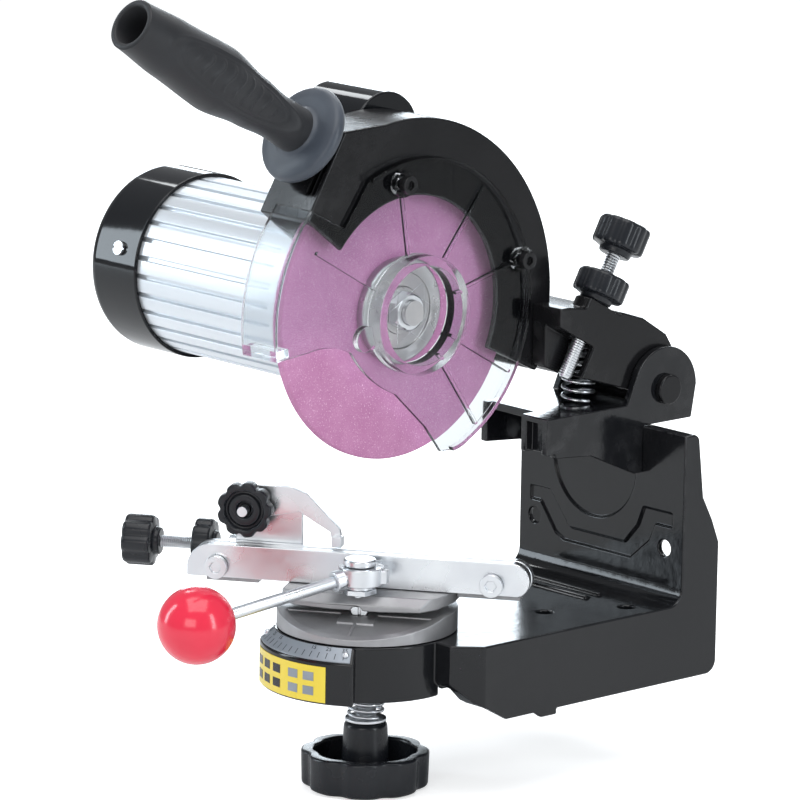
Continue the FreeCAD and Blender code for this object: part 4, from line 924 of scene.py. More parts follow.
@dataclass
class Shop:
    """The tools that the sub-assemblies share."""

    machine: Machine
    coil: Tree = field(default_factory=coil_tree)
    arc: Tree = field(default_factory=arc_tree)
    wire_sides: int = 12
    wire_steps: int = 28
    thread_sides: int = 6
    thread_steps: int = 24
    thread_depth: float = 0.42
    thread_end: float = 0.9
    rod_sides: int = 32
    lobe_sides: int = 16

    def wound(self, name: str, look: Look, place: Matrix, turns: float, length: float,
              radius: float, wire: float) -> Piece:
        """Wind a wire.

        Args:
            name: The piece's name.
            look: Its finish.
            place: Where the helix stands.
            turns: Number of turns.
            length: Height of the helix in metres.
            radius: Radius of the helix in metres.
            wire: Radius of the wire in metres.

        Returns:
            The piece.
        """
        material = self.machine.palette[look]
        sizes = {"Turns": turns, "Length": length, "Radius": radius, "Wire": wire,
                 "Sides": self.wire_sides, "Steps": self.wire_steps, "Material": material}
        return new_piece(name, grown(self.coil, sizes, place), material, ROUND_SHADING)

    def threaded(self, node: str, look: Look, start: Vector, axis: Vector, pitch: float) -> Piece:
        """Make a screw with a rolled thread in place of a plain rod.

        Args:
            node: The rod's node.
            look: Its finish.
            start: A point on its line.
            axis: Its direction.
            pitch: Thread pitch in millimetres.

        Returns:
            The piece.
        """
        low, high, radius = self.machine.span(node, start, axis)
        length = high - low
        outer = radius / MM
        wire = pitch * self.thread_depth
        core = outer - wire
        end = pitch * self.thread_end
        tip = core - end * 0.6
        tall = length / MM
        profile = [(0.0, 0.0), (tip, 0.0), (core, end), (core, tall - end), (tip, tall), (0.0, tall)]
        place = toward(axis, start + axis * low)
        rod = Turning([(r, z, 0.0) for r, z in profile], sides=self.rod_sides).mesh(place)
        rise = toward(axis, start + axis * (low + end * MM))
        run = tall - 2 * end
        thread = grown(self.coil, {
            "Turns": run / pitch, "Length": run * MM, "Radius": core * MM, "Wire": wire * MM,
            "Sides": self.thread_sides, "Steps": self.thread_steps,
            "Material": self.machine.palette[look]}, rise)
        work = bmesh.new()
        work.from_mesh(rod)
        work.from_mesh(thread)
        work.to_mesh(rod)
        work.free()
        piece = new_piece(node + "_threaded", rod, self.machine.palette[look], THREAD_SHADING)
        return self.machine.add(piece, node)

    def knob(self, node: str, start: Vector, axis: Vector, lobes: int, outline: LobedOutline,
             depth: float = 0.1, corner: float = 0.9, sharpness: float = 2.2) -> Piece:
        """Make a lobed plastic knob in place of a plain one.

        Args:
            node: The knob's node.
            start: A point on its line.
            axis: Its direction, pointing out of the face that a hand sees.
            lobes: Number of lobes.
            outline: Corners as parts of radius and height, with their lobe weight.
            depth: Depth of the notches as a part of the radius.
            corner: Corner radius in millimetres.
            sharpness: How narrow the notches are.

        Returns:
            The piece.
        """
        low, high, radius = self.machine.span(node, start, axis)
        tall = (high - low) / MM
        wide = radius / MM
        corners = [(r * wide, z * tall) for r, z, _ in outline]
        weights = {(round(r * wide, 4), round(z * tall, 4)): weight for r, z, weight in outline}
        smooth = rounded(corners, corner)
        lobed = [(r, z, self.weight(weights, r, z)) for r, z in smooth]
        shape = Turning(lobed, lobes, depth, lobes * self.lobe_sides, sharpness)
        piece = new_piece(node + "_moulded", shape.mesh(toward(axis, start + axis * low)),
                          self.machine.palette[Look.BLACK_PLASTIC], KNOB_SHADING)
        return self.machine.add(piece, node)

    @staticmethod
    def weight(weights: dict[tuple[float, float], float], r: float, z: float) -> float:
        """Lobe weight of the nearest outline corner."""
        nearest = min(weights, key=lambda spot: (spot[0] - r) ** 2 + (spot[1] - z) ** 2)
        return weights[nearest]


# ------------------------------------------------------------------ sub-assemblies
@dataclass
class BaseCasting:
    """Bench casting, its scale, its label and the pivot bracket."""

    shop: Shop
    marks: int = 15
    mark_step: float = 5.0
    mark_length: float = 3.2
    mark_width: float = 0.35
    mark_depth: float = 0.12
    mark_row: float = 0.34
    plate_thick: float = 0.5
    number_size: float = 2.9
    number_raise: float = 0.05
    number_row: float = 0.8
    numbers: tuple[int, ...] = (15, 25, 35)
    bars: tuple[tuple[Look, float, int, float], ...] = (
        (Look.BLACK_PLASTIC, 0.1, 3, 0.3), (Look.BLACK_PLASTIC, 0.1, 3, 0.7),
        (Look.SCALE, 0.66, 2, 0.3), (Look.SCALE, 0.66, 2, 0.7))
    bar_step: float = 0.17
    bar_wide: float = 0.11
    bar_tall: float = 0.24

    def build(self) -> None:
        """Make and dress the pieces."""
        machine = self.shop.machine
        softened(machine, "base_frame", Look.BLACK_PAINT, 0.9, 3)
        softened(machine, "pivot_bracket", Look.BLACK_PAINT, 0.6)
        softened(machine, "bracket_bolts", Look.ZINC, 0.35)
        softened(machine, "pivot_pin", Look.BLACK_CAST, 0.5)
        softened(machine, "scale_plate", Look.SCALE, 0.15)
        softened(machine, "scale_rivets", Look.ZINC, 0.1)
        softened(machine, "nose_label", Look.LABEL, 0.12)
        self.print_scale()
        self.print_label()

    def _vise_axis(self) -> Vector:
        """Point under the vise, at bench level."""
        spot = self.shop.machine.pivot("vise_turn")
        return Vector((spot.x, spot.y, 0.0))

    def print_scale(self) -> None:
        """Ticks and numbers on the sloping scale."""
        machine = self.shop.machine
        centre = self._vise_axis()
        low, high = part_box("scale_plate")
        outer = centre.y - low.y
        inner, slope = self._slope(centre)
        face = (inner, outer, low.z, high.z, self.plate_thick * MM)
        middle = outer - (outer - inner) * self.mark_row
        rise = self._height(middle, *face)
        half = math.radians(self.mark_step) * (self.marks - 1) / 2.0
        values = {"Count": self.marks, "First": -math.pi / 2.0 - half, "Step": math.radians(self.mark_step),
                  "Radius": middle, "Rise": rise, "Slope": slope, "Length": self.mark_length * MM,
                  "Width": self.mark_width * MM, "Depth": self.mark_depth * MM,
                  "Material": machine.palette[Look.BLACK_PLASTIC]}
        ticks = new_piece("scale_ticks", grown(self.shop.arc, values, Matrix.Translation(centre)),
                          machine.palette[Look.BLACK_PLASTIC])
        machine.attach(ticks, "scale_plate", Look.BLACK_PLASTIC)
        row = outer - (outer - inner) * self.number_row
        self._write(centre, row, self._height(row, *face), slope)

    def _slope(self, centre: Vector) -> tuple[float, float]:
        """Inner radius and fall of the scale, read from its mesh."""
        points = [vertex.co for vertex in self.shop.machine.nodes["scale_plate"].data.vertices]
        spread = [math.hypot(point.x - centre.x, point.y - centre.y) for point in points]
        inner, outer = min(spread), max(spread)
        top = max(point.z for point in points)
        edge = max(point.z for point, reach in zip(points, spread) if reach > outer - 0.0003)
        return inner, math.atan2(top - edge, outer - inner)

    @staticmethod
    def _height(radius: float, inner: float, outer: float, bottom: float, top: float, thick: float) -> float:
        """Height of the scale's sloping face at a radius."""
        return top + (bottom + thick - top) * (radius - inner) / (outer - inner)

    def _write(self, centre: Vector, radius: float, rise: float, slope: float) -> None:
        """Raise the numbers of the scale.

        Args:
            centre: The vise's turning point.
            radius: Radius of the row of numbers.
            rise: Its height.
            slope: Fall of the scale.
        """
        machine = self.shop.machine
        work = bmesh.new()
        for side in (-1, 1):
            for number in self.numbers:
                text = bpy.data.curves.new("number", "FONT")
                text.body = str(number)
                text.size = self.number_size * MM
                text.align_x = "CENTER"
                text.align_y = "CENTER"
                text.extrude = self.number_raise * MM
                holder = bpy.data.objects.new("number", text)
                bpy.context.scene.collection.objects.link(holder)
                bpy.context.view_layer.update()
                seen = holder.evaluated_get(bpy.context.evaluated_depsgraph_get())
                flat = bpy.data.meshes.new_from_object(seen)
                bpy.data.objects.remove(holder)
                turn = math.radians(side * number)
                away = Vector((math.sin(turn), -math.cos(turn), 0.0))
                spot = centre + away * radius + Vector((0.0, 0.0, rise))
                face = Vector((away.x * math.sin(slope), away.y * math.sin(slope), math.cos(slope)))
                across = Vector((-away.y, away.x, 0.0))
                flat.transform(toward(face, spot, across))
                work.from_mesh(flat)
        mesh = bpy.data.meshes.new("numbers")
        work.to_mesh(mesh)
        work.free()
        piece = new_piece("scale_numbers", mesh, machine.palette[Look.BLACK_PLASTIC])
        machine.attach(piece, "scale_plate", Look.BLACK_PLASTIC)

    def print_label(self) -> None:
        """Plain bars that stand for the print on the label."""
        machine = self.shop.machine
        centre = self._vise_axis()
        low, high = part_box("nose_label")
        points = [vertex.co - centre for vertex in machine.nodes["nose_label"].data.vertices]
        radius = max(math.hypot(point.x, point.y) for point in points)
        angles = [math.atan2(point.y, point.x) for point in points]
        first, sweep = min(angles), max(angles) - min(angles)
        tall = high.z - low.z
        for number, (look, start, count, place) in enumerate(self.bars):
            values = {"Count": count, "First": first + sweep * start, "Step": sweep * self.bar_step,
                      "Radius": radius + 0.00002, "Rise": low.z + tall * place, "Slope": math.pi / 2.0,
                      "Length": tall * self.bar_tall, "Width": radius * sweep * self.bar_wide,
                      "Depth": self.mark_depth * MM, "Material": machine.palette[look]}
            bars = new_piece(f"label_bars_{number}", grown(self.shop.arc, values, Matrix.Translation(centre)),
                             machine.palette[look])
            machine.attach(bars, "nose_label", look)


@dataclass
class Vise:
    """Turning table, tilting plate, rails and their clamp."""

    shop: Shop
    rod_taper: float = 0.5
    sphere_rings: int = 48
    neck_gap: float = 0.15
    collar: float = 1.3
    corners: tuple[tuple[str, Look, float], ...] = (
        ("turntable", Look.GREY_CAST, 0.4), ("tilt_plate", Look.GREY_CAST, 0.6),
        ("fixed_rail", Look.ZINC, 0.5), ("moving_rail", Look.ZINC, 0.5),
        ("rail_packers", Look.GREY_CAST, 0.3), ("rail_bolts", Look.ZINC, 0.3),
        ("cam_post", Look.ZINC, 0.35), ("clamp_cam", Look.ZINC, 0.5), ("tilt_pin", Look.ZINC, 0.3))

    def build(self) -> None:
        """Make and dress the pieces."""
        machine = self.shop.machine
        for node, look, width in self.corners:
            softened(machine, node, look, width)
        self.lever()
        self.ball()

    def _rod_line(self) -> tuple[Vector, Vector]:
        """Start and direction of the lever rod."""
        ball = self.shop.machine.middle("clamp_ball")
        rod = self.shop.machine.middle("clamp_lever")
        return rod, (ball - rod).normalized()

    def lever(self) -> None:
        """Plated rod with chamfered ends."""
        machine = self.shop.machine
        start, axis = self._rod_line()
        low, high, radius = machine.span("clamp_lever", start, axis)
        tall = (high - low) / MM
        wide = radius / MM
        outline = rounded([(0.0, 0.0), (wide, 0.0), (wide, tall), (0.0, tall)], self.rod_taper)
        shape = Turning([(r, z, 0.0) for r, z in outline], sides=48)
        piece = new_piece("clamp_lever_rod", shape.mesh(toward(axis, start + axis * low)),
                          machine.palette[Look.ZINC])
        machine.add(piece, "clamp_lever")

    def ball(self) -> None:
        """Moulded ball with a small flat round the rod."""
        machine = self.shop.machine
        centre = machine.middle("clamp_ball")
        _, axis = self._rod_line()
        low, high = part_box("clamp_ball")
        wide = (high.z - low.z) / 2.0 / MM
        _, _, rod = machine.span("clamp_lever", centre, axis)
        neck = rod / MM + self.neck_gap
        collar = neck + self.collar
        start = math.asin(collar / wide)
        points = [(neck, wide * 0.6), (neck, wide * math.cos(start) - 0.3)]
        for ring in range(self.sphere_rings + 1):
            angle = start + (math.pi - start) * ring / self.sphere_rings
            points.append((wide * math.sin(angle), wide * math.cos(angle)))
        shape = Turning([(max(r, 0.0), z, 0.0) for r, z in points], sides=96)
        piece = new_piece("clamp_ball_red", shape.mesh(toward(-axis, centre)),
                          machine.palette[Look.BALL], BALL_SHADING)
        machine.add(piece, "clamp_ball")


@dataclass
class ChainStop:
    """Stop plate with its pawl, adjusting screw and three knobs."""

    shop: Shop
    thread: float = 1.0
    lobes: int = 8
    dish_lobes: int = 9
    knob_outline: LobedOutline = (
        (0.24, 0.0, 0.0), (0.52, 0.0, 0.0), (0.55, 0.16, 0.0), (0.97, 0.2, 1.0), (1.0, 0.28, 1.0),
        (1.0, 0.92, 1.0), (0.93, 1.0, 1.0), (0.45, 1.0, 0.0), (0.0, 1.0, 0.0))
    dish_outline: LobedOutline = (
        (0.2, 0.0, 0.0), (0.6, 0.0, 0.0), (0.62, 0.1, 0.0), (0.96, 0.14, 1.0), (1.0, 0.22, 1.0),
        (1.0, 0.9, 1.0), (0.95, 1.0, 1.0), (0.73, 1.0, 0.3), (0.69, 0.72, 0.0), (0.6, 0.72, 0.0),
        (0.56, 0.86, 0.0), (0.3, 0.86, 0.0), (0.27, 0.6, 0.0), (0.2, 0.6, 0.0), (0.2, 0.0, 0.0))

    corners: tuple[tuple[str, float], ...] = (
        ("stop_plate", 0.4), ("stop_guide", 0.4), ("pawl_arm", 0.35), ("pawl_stud", 0.25))

    def build(self) -> None:
        """Make and dress the pieces."""
        machine = self.shop.machine
        for node, width in self.corners:
            softened(machine, node, Look.ZINC, width)
        axis = machine.axis("adjust_turn")
        start = machine.pivot("adjust_turn")
        self.shop.threaded("adjust_screw", Look.ZINC, start, axis, self.thread)
        self.shop.knob("adjust_knob", start, -axis, self.lobes, self.knob_outline)
        self.shop.knob("adjust_lock_knob", start, -axis, self.lobes, self.knob_outline)
        self.shop.knob("pawl_knob", machine.pivot("pawl_clamp_turn"), -machine.axis("pawl_clamp_turn"),
                       self.dish_lobes, self.dish_outline, depth=0.12)


@dataclass
class ClampBelow:
    """Vise bolt, spring, washer and the big hand-wheel under the nose."""

    shop: Shop
    spring_turns: float = 5.0
    spring_wire: float = 0.9
    thread: float = 1.5
    lobes: int = 8
    lobe_depth: float = 0.075
    lobe_sharpness: float = 2.6
    rim_part: float = 18.0 / 32.0
    neck_part: float = 0.34
    floor_thick: float = 3.0
    bore_deep: float = 12.6

    def build(self) -> None:
        """Make and dress the pieces."""
        machine = self.shop.machine
        start = machine.pivot("handwheel_turn")
        axis = machine.axis("handwheel_turn")
        self.shop.threaded("vise_bolt", Look.ZINC, start, axis, self.thread)
        softened(machine, "clamp_washer", Look.ZINC, 0.25)
        self.spring(start, axis)
        self.handwheel(start, axis)

    def spring(self, start: Vector, axis: Vector) -> None:
        """Short open coil round the bolt."""
        machine = self.shop.machine
        low, high, radius = machine.span("clamp_spring", start, axis)
        wire = self.spring_wire * MM
        place = toward(axis, start + axis * (low + wire))
        piece = self.shop.wound("clamp_spring_coil", Look.ZINC, place, self.spring_turns,
                                high - low - 2.0 * wire, radius - wire, wire)
        machine.add(piece, "clamp_spring")

    def handwheel(self, start: Vector, axis: Vector) -> None:
        """Deep lobed wheel, open above, with a tall neck."""
        machine = self.shop.machine
        low, high, radius = machine.span("clamp_handwheel", start, axis)
        tall = (high - low) / MM
        wide = radius / MM
        rim = tall * self.rim_part
        neck = wide * self.neck_part
        bore = neck * 0.5
        floor = tall - self.bore_deep
        base = self.floor_thick
        corners = [(0.0, 0.0, 0.0), (wide * 0.9, 0.0, 1.0), (wide * 0.985, 1.4, 1.0), (wide, rim - 0.8, 1.0),
                   (wide * 0.97, rim, 1.0), (wide * 0.82, rim, 0.6), (wide * 0.8, rim - 1.0, 0.2),
                   (wide * 0.79, base, 0.0), (neck * 1.12, base, 0.0), (neck, tall - 1.6, 0.0),
                   (neck - 1.3, tall, 0.0), (bore, tall, 0.0), (bore, floor, 0.0), (0.0, floor, 0.0)]
        smooth = rounded([(r, z) for r, z, _ in corners], 1.0)
        weights = {(round(r, 4), round(z, 4)): weight for r, z, weight in corners}
        profile = [(r, z, self.shop.weight(weights, r, z)) for r, z in smooth]
        shape = Turning(profile, self.lobes, self.lobe_depth, self.lobes * 20, self.lobe_sharpness)
        piece = new_piece("clamp_handwheel_moulded", shape.mesh(toward(axis, start + axis * low)),
                          machine.palette[Look.BLACK_PLASTIC], KNOB_SHADING)
        machine.add(piece, "clamp_handwheel")


@dataclass
class Motor:
    """Finned motor, its bell, its cap and the hidden winding."""

    shop: Shop
    corners: tuple[tuple[str, Look, float], ...] = (
        ("motor_body", Look.MOTOR, 0.35), ("motor_front_bell", Look.MOTOR, 0.5),
        ("motor_end_cap", Look.BLACK_CAP, 0.8), ("cap_screws", Look.ZINC, 0.25))
    plain: tuple[tuple[str, Look], ...] = (
        ("motor_stator", Look.WINDING), ("motor_rotor", Look.STEEL), ("front_bearing", Look.STEEL),
        ("rear_bearing", Look.STEEL), ("spindle", Look.STEEL), ("back_flange", Look.STEEL),
        ("handle_bolt", Look.ZINC))

    def build(self) -> None:
        """Make and dress the pieces."""
        machine = self.shop.machine
        for node, look, width in self.corners:
            softened(machine, node, look, width)
        for node, look in self.plain:
            dress(machine, node, look)


def dress(machine: Machine, node: str, look: Look) -> None:
    """Give a frame node a finish without changing its shape.

    Args:
        machine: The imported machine.
        node: The node.
        look: Its finish.
    """
    piece = machine.nodes[node]
    if not piece.material_slots:
        piece.data.materials.append(machine.palette[look])
    for slot in piece.material_slots:
        slot.material = machine.palette[look]
    log.info("%s is dressed as %s", node, look.value)


@dataclass
class WheelSet:
    """Grinding wheel, flange and nut."""

    shop: Shop
    bore: float = 11.1
    edge: float = 1.2

    def build(self) -> None:
        """Make and dress the pieces."""
        machine = self.shop.machine
        self.wheel()
        softened(machine, "front_flange", Look.STEEL, 0.4)
        softened(machine, "spindle_nut", Look.ZINC, 0.4)

    def wheel(self) -> None:
        """Thin bonded disc with a dressed edge."""
        machine = self.shop.machine
        axis = machine.axis("wheel_spin")
        start = machine.pivot("wheel_spin")
        low, high, radius = machine.span("grinding_wheel", start, axis)
        wide = radius / MM
        tall = (high - low) / MM
        corners = [(self.bore, 0.0), (wide, 0.0), (wide, tall), (self.bore, tall), (self.bore, 0.0)]
        outline = rounded(corners, self.edge, 5)
        shape = Turning([(r, z, 0.0) for r, z in outline], sides=256)
        piece = new_piece("grinding_wheel_disc", shape.mesh(toward(axis, start + axis * low)),
                          machine.palette[Look.WHEEL], ROUND_SHADING)
        machine.add(piece, "grinding_wheel")


@dataclass
class HoodAndGuard:
    """Cast hood, clear guard, its screws and the switch box."""

    shop: Shop
    corners: tuple[tuple[str, Look, float, int], ...] = (
        ("wheel_hood", Look.BLACK_CAST, 1.0, 3), ("shield_screws", Look.BLACK_CAST, 0.35, 2),
        ("switch_rocker", Look.ROCKER, 0.5, 2), ("cord_gland", Look.BLACK_PLASTIC, 0.4, 2))

    def build(self) -> None:
        """Make and dress the pieces."""
        machine = self.shop.machine
        for node, look, width, steps in self.corners:
            softened(machine, node, look, width, steps)
        softened(machine, "clear_shield", Look.CLEAR, 0.3, 2)
        softened(machine, "switch_housing", Look.BLACK_CAP, 0.9, 3)


@dataclass
class Handle:
    """Soft grip with an oval pad of ridges and a round hand guard."""

    shop: Shop
    rake: float = 149.6
    rings: int = 200
    sides: int = 144
    guard_thick: float = 9.0
    guard_low: float = 4.0
    pad_middle: float = 68.0
    pad_half: float = 44.0
    pad_wide: float = 11.0
    pad_deep: float = 0.9
    ridges: int = 9
    ridge_gap: float = 7.2
    ridge_high: float = 0.55
    waist: tuple[tuple[float, float], ...] = (
        (0.0, 11.4), (13.0, 11.2), (30.0, 11.0), (48.0, 13.0), (71.5, 16.4), (104.0, 14.6))
    tip_radius: float = 12.4
    bore_depth: float = 21.0

    def _grip(self, along: float, end: float) -> float:
        """Radius of the grip, a smooth curve through its waist and its belly."""
        knots = (*self.waist, (end, self.tip_radius))
        for (x0, r0), (x1, r1) in zip(knots, knots[1:]):
            if along <= x1:
                t = (along - x0) / (x1 - x0)
                ease = t * t * (3.0 - 2.0 * t)
                return r0 + (r1 - r0) * (0.35 * t + 0.65 * ease)
        return knots[-1][1]

    def _pad(self, along: float, across: float) -> float:
        """Depth of the pad and height of its ridges at a spot on either flank."""
        x = (along - self.pad_middle) / self.pad_half
        y = across / self.pad_wide
        reach = math.hypot(x, y)
        inside = 1.0 / (1.0 + math.exp(min(60.0, (reach - 1.0) * 26.0)))
        rim = math.exp(-((reach - 1.06) / 0.035) ** 2)
        ring = math.exp(-((reach - 0.86) / 0.03) ** 2)
        curve = along - self.pad_middle + 1.5 * math.sin(across * 0.38)
        nearest = round(curve / self.ridge_gap)
        ridge = 0.0
        if abs(nearest) <= self.ridges // 2:
            ridge = math.exp(-((curve - nearest * self.ridge_gap) / 0.75) ** 2)
            ridge *= 1.0 / (1.0 + math.exp(min(60.0, (reach - 0.7) * 30.0)))
        return -self.pad_deep * inside + 0.25 * rim + 0.3 * ring + self.ridge_high * ridge

    def build(self) -> None:
        """Make and dress the pieces."""
        machine = self.shop.machine
        turn = math.radians(self.rake)
        axis = Vector((0.0, math.cos(turn), math.sin(turn)))
        end = machine.end_centre("handle_grip", axis)
        low, high, wide = machine.span("handle_grip", end, axis)
        start = end + axis * low
        length = (high - low) / MM
        self.grip(machine, start, axis, length)
        self.guard(machine, start, axis, wide / MM)

    def grip(self, machine: Machine, start: Vector, axis: Vector, length: float) -> None:
        """Hollow grip with its pads.

        Args:
            machine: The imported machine.
            start: Foot of the grip.
            axis: Its direction.
            length: Its length in millimetres.
        """
        verts: list[Vector] = []
        outline: list[tuple[float, float, bool]] = []
        for ring in range(self.rings + 1):
            along = length * ring / self.rings
            outline.append((self._grip(along, length), along, True))
        tip = outline.pop()[0]
        bore = length - self.bore_depth
        outline += [(tip, length - 0.9, True), (tip - 0.5, length - 0.2, False), (tip - 1.3, length, False),
                    (tip - 2.4, length - 0.1, False), (tip - 3.0, length - 0.8, False),
                    (tip - 3.6, bore, False), (0.0, bore - 1.0, False)]
        for side in range(self.sides):
            angle = 2.0 * math.pi * side / self.sides
            flank = math.remainder(angle, math.pi)
            for radius, along, padded in outline:
                lift = self._pad(along, radius * flank) if padded else 0.0
                seam = 0.12 * math.exp(-(math.remainder(angle - math.pi / 2.0, math.pi) * radius / 0.25) ** 2)
                reach = (radius + lift - seam) * MM if radius > 0.0 else 0.0
                verts.append(Vector((reach * math.cos(angle), reach * math.sin(angle), along * MM)))
        count = len(outline)
        faces = []
        for side in range(self.sides):
            here = side * count
            there = ((side + 1) % self.sides) * count
            for step in range(count - 1):
                faces.append((here + step, there + step, there + step + 1, here + step + 1))
        mesh = mesh_of(verts, faces, toward(axis, start, Vector((1.0, 0.0, 0.0))))
        piece = new_piece("handle_grip_soft", mesh, machine.palette[Look.RUBBER], ROUND_SHADING)
        machine.add(piece, "handle_grip")

    def guard(self, machine: Machine, start: Vector, axis: Vector, wide: float) -> None:
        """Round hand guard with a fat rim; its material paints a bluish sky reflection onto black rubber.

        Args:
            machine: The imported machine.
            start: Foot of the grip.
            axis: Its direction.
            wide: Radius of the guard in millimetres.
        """
        low = self.guard_low
        high = low + self.guard_thick
        middle = (low + high) / 2.0
        corners = [(10.8, low + 1.0), (wide * 0.8, low + 0.4), (wide * 0.95, low + 1.4), (wide, middle),
                   (wide * 0.95, high - 1.6), (wide * 0.78, high - 0.2), (12.8, high + 0.2),
                   (11.0, high + 1.6), (10.8, high + 1.0)]
        outline = rounded(corners, 2.2, 5)
        shape = Turning([(r, z, 0.0) for r, z in outline], sides=360)
        mesh = shape.mesh(toward(axis, start, Vector((1.0, 0.0, 0.0))))
        # The guard's material carries a painted bluish sky reflection.
        piece = new_piece("handle_guard_disc", mesh, machine.palette[Look.GUARD], ROUND_SHADING)
        machine.attach(piece, "handle_grip", Look.RUBBER)


@dataclass
class ArmAndStop:
    """Swing arm, return spring and the depth-stop screw with its knobs."""

    shop: Shop
    spring_turns: float = 7.0
    spring_wire: float = 1.0
    spring_keep: float = 0.66
    thread: float = 1.25
    lobes: int = 10
    knob_outline: LobedOutline = (
        (0.28, 0.0, 0.0), (0.6, 0.0, 0.0), (0.64, 0.18, 0.0), (0.97, 0.22, 1.0), (1.0, 0.3, 1.0),
        (1.0, 0.92, 1.0), (0.94, 1.0, 1.0), (0.5, 1.0, 0.0), (0.28, 1.0, 0.0))

    def build(self) -> None:
        """Make and dress the pieces."""
        machine = self.shop.machine
        softened(machine, "swing_arm", Look.BLACK_CAST, 1.0, 3)
        axis = machine.axis("depth_turn")
        start = machine.pivot("depth_turn")
        self.shop.threaded("depth_screw", Look.ZINC, start, axis, self.thread)
        self.shop.knob("depth_knob", start, axis, self.lobes, self.knob_outline, depth=0.06)
        self.shop.knob("depth_lock_knob", start, axis, self.lobes, self.knob_outline, depth=0.06)
        self.spring()

    def spring(self) -> None:
        """Coil between the bracket's shelf and the arm."""
        machine = self.shop.machine
        low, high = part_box("return_spring")
        wire = self.spring_wire * MM
        centre = Vector(((low.x + high.x) / 2.0, (low.y + high.y) / 2.0, low.z + wire))
        radius = (high.x - low.x) / 2.0 - wire
        place = Matrix.Translation(centre)
        piece = self.shop.wound("return_spring_coil", Look.ZINC, place, self.spring_turns,
                                high.z - low.z - 2.0 * wire, radius, wire)
        machine.add(piece, "return_spring")
        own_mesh(piece)


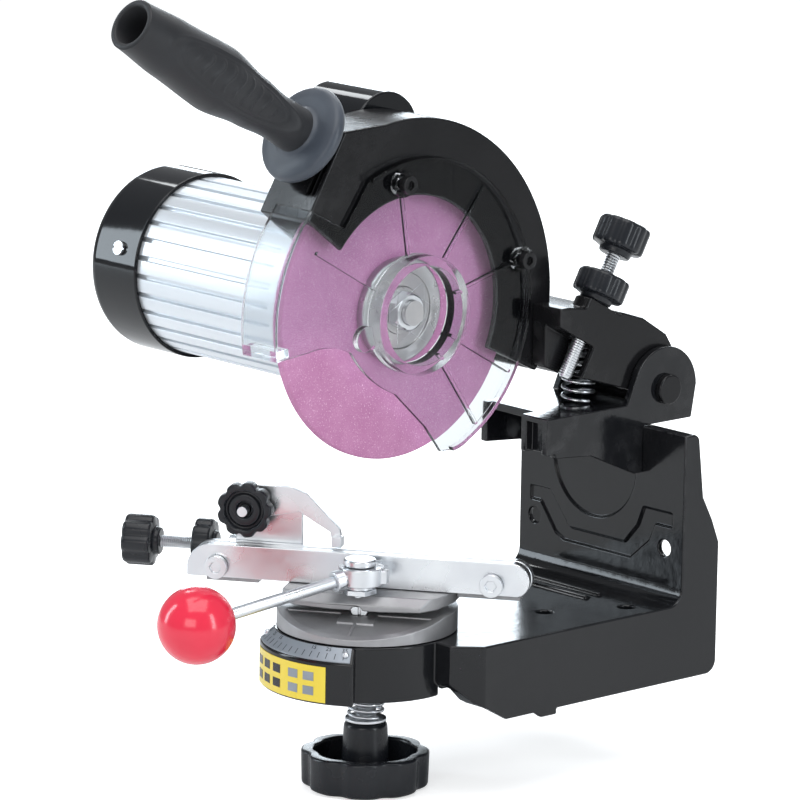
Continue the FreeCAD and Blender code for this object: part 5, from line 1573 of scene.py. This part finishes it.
# ------------------------------------------------------------------ studio
@dataclass
class Studio:
    """Pale floor, soft lights and the camera."""

    azimuth: float = 47.6
    elevation: float = 12.1
    roll: float = 0.9
    lens: float = 262.35
    camera_place: tuple[float, float, float] = (2.0031, -1.9403, 0.7299)
    floor_size: float = 30.0
    glow: float = 0.6
    lights: tuple[tuple[str, tuple[float, float, float], tuple[float, float], float, Colour], ...] = (
        ("sky_box", (0.3, -0.4, 2.0), (1.8, 1.8), 27.0, (1.0, 1.0, 1.0)),
        ("right_window", (1.9, 0.2, 0.75), (0.35, 1.5), 13.0, (0.9, 0.96, 1.0)),
        ("left_window", (-1.5, -1.3, 0.8), (0.35, 1.5), 13.0, (0.82, 0.92, 1.0)),
        ("front_fill", (1.2, -2.3, 0.9), (1.4, 1.0), 13.0, (1.0, 0.99, 0.97)),
        ("back_strip", (-1.5, 1.5, 0.55), (1.6, 0.35), 11.0, (0.84, 0.93, 1.0)),
        ("top_strip", (-0.9, 0.9, 1.5), (1.8, 0.3), 12.0, (0.95, 0.98, 1.0)))

    def build(self) -> None:
        """Set up everything round the machine."""
        low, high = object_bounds()
        centre = (Vector(low) + Vector(high)) / 2.0
        self.floor(low[2])
        self.world()
        for name, place, size, power, colour in self.lights:
            self.lamp(name, Vector(place), centre, size, power, colour)
        self.camera()

    def floor(self, level: float) -> None:
        """Plain pale floor under the machine."""
        half = self.floor_size / 2.0
        mesh = bpy.data.meshes.new("floor")
        corners = [(-half, -half, 0), (half, -half, 0), (half, half, 0), (-half, half, 0)]
        mesh.from_pydata(corners, [], [(0, 1, 2, 3)])
        floor = bpy.data.objects.new("floor", mesh)
        floor.location.z = level - 0.0005
        bpy.context.scene.collection.objects.link(floor)
        made = bpy.data.materials.new("pale_floor")
        made.use_nodes = True
        shader = made.node_tree.nodes["Principled BSDF"]
        shader.inputs["Base Color"].default_value = (0.9, 0.9, 0.9, 1.0)
        shader.inputs["Roughness"].default_value = 0.9
        shader.inputs["Specular IOR Level"].default_value = 0.1
        tree = made.node_tree
        paths = tree.nodes.new("ShaderNodeLightPath")
        glow = tree.nodes.new("ShaderNodeMath")
        glow.operation = "MULTIPLY"
        glow.inputs[1].default_value = self.glow
        tree.links.new(paths.outputs["Is Camera Ray"], glow.inputs[0])
        tree.links.new(glow.outputs[0], shader.inputs["Emission Strength"])
        shader.inputs["Emission Color"].default_value = (1.0, 1.0, 1.0, 1.0)
        mesh.materials.append(made)
        floor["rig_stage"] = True

    @staticmethod
    def world() -> None:
        """Even white surroundings."""
        world = bpy.data.worlds.new("studio")
        world.use_nodes = True
        light = world.node_tree.nodes["Background"]
        light.inputs["Color"].default_value = (0.93, 0.96, 1.0, 1.0)
        light.inputs["Strength"].default_value = 0.36
        bpy.context.scene.world = world
        bpy.context.scene.view_settings.view_transform = "Standard"

    @staticmethod
    def lamp(name: str, place: Vector, target: Vector, size: tuple[float, float], power: float,
             colour: Colour) -> None:
        """Hang a soft box that looks at the machine.

        Args:
            name: The lamp's name.
            place: Where it hangs.
            target: Where it looks.
            size: Width and height in metres.
            power: Watts.
            colour: Its colour.
        """
        light = bpy.data.lights.new(name, "AREA")
        light.shape = "RECTANGLE"
        light.size, light.size_y = size
        light.energy = power
        light.color = colour
        lamp = bpy.data.objects.new(name, light)
        lamp.location = place
        lamp.rotation_euler = (target - place).to_track_quat("-Z", "Y").to_euler()
        bpy.context.scene.collection.objects.link(lamp)

    def camera(self) -> None:
        """Long lens from the front right, a little above the machine."""
        turn, lift, tip = (math.radians(value) for value in (self.azimuth, self.elevation, self.roll))
        back = Vector((math.sin(turn) * math.cos(lift), -math.cos(turn) * math.cos(lift), math.sin(lift)))
        right = Vector((math.cos(turn), math.sin(turn), 0.0))
        up = back.cross(right)
        tipped_right = right * math.cos(tip) + up * math.sin(tip)
        tipped_up = up * math.cos(tip) - right * math.sin(tip)
        data = bpy.data.cameras.new("camera")
        data.lens = self.lens
        data.sensor_width = 36.0
        data.clip_start = 0.1
        data.clip_end = 60.0
        camera = bpy.data.objects.new("camera", data)
        turned = Matrix((tipped_right, tipped_up, back)).transposed().to_4x4()
        camera.matrix_world = Matrix.Translation(Vector(self.camera_place)) @ turned
        bpy.context.scene.collection.objects.link(camera)
        bpy.context.scene.camera = camera


def main() -> None:
    """Build every sub-assembly in order."""
    logging.basicConfig(level=logging.INFO, format="%(name)s: %(message)s")
    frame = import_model()
    Studio().build()
    groups = ShaderGroups()
    palette = Palette({finish.look: finish.material(groups) for finish in FINISHES})
    joints = {joint["name"]: joint for joint in frame["joints"]}
    slots = {part["node"]: part["material_slot"] for part in frame["record"]["subparts"]}
    shop = Shop(Machine(frame["nodes"], joints, slots, palette))
    for assembly in (BaseCasting, Vise, ChainStop, ClampBelow, Motor, WheelSet, HoodAndGuard, Handle,
                     ArmAndStop):
        log.info("building %s", assembly.__name__)
        assembly(shop).build()


if __name__ == "__main__":
    main()
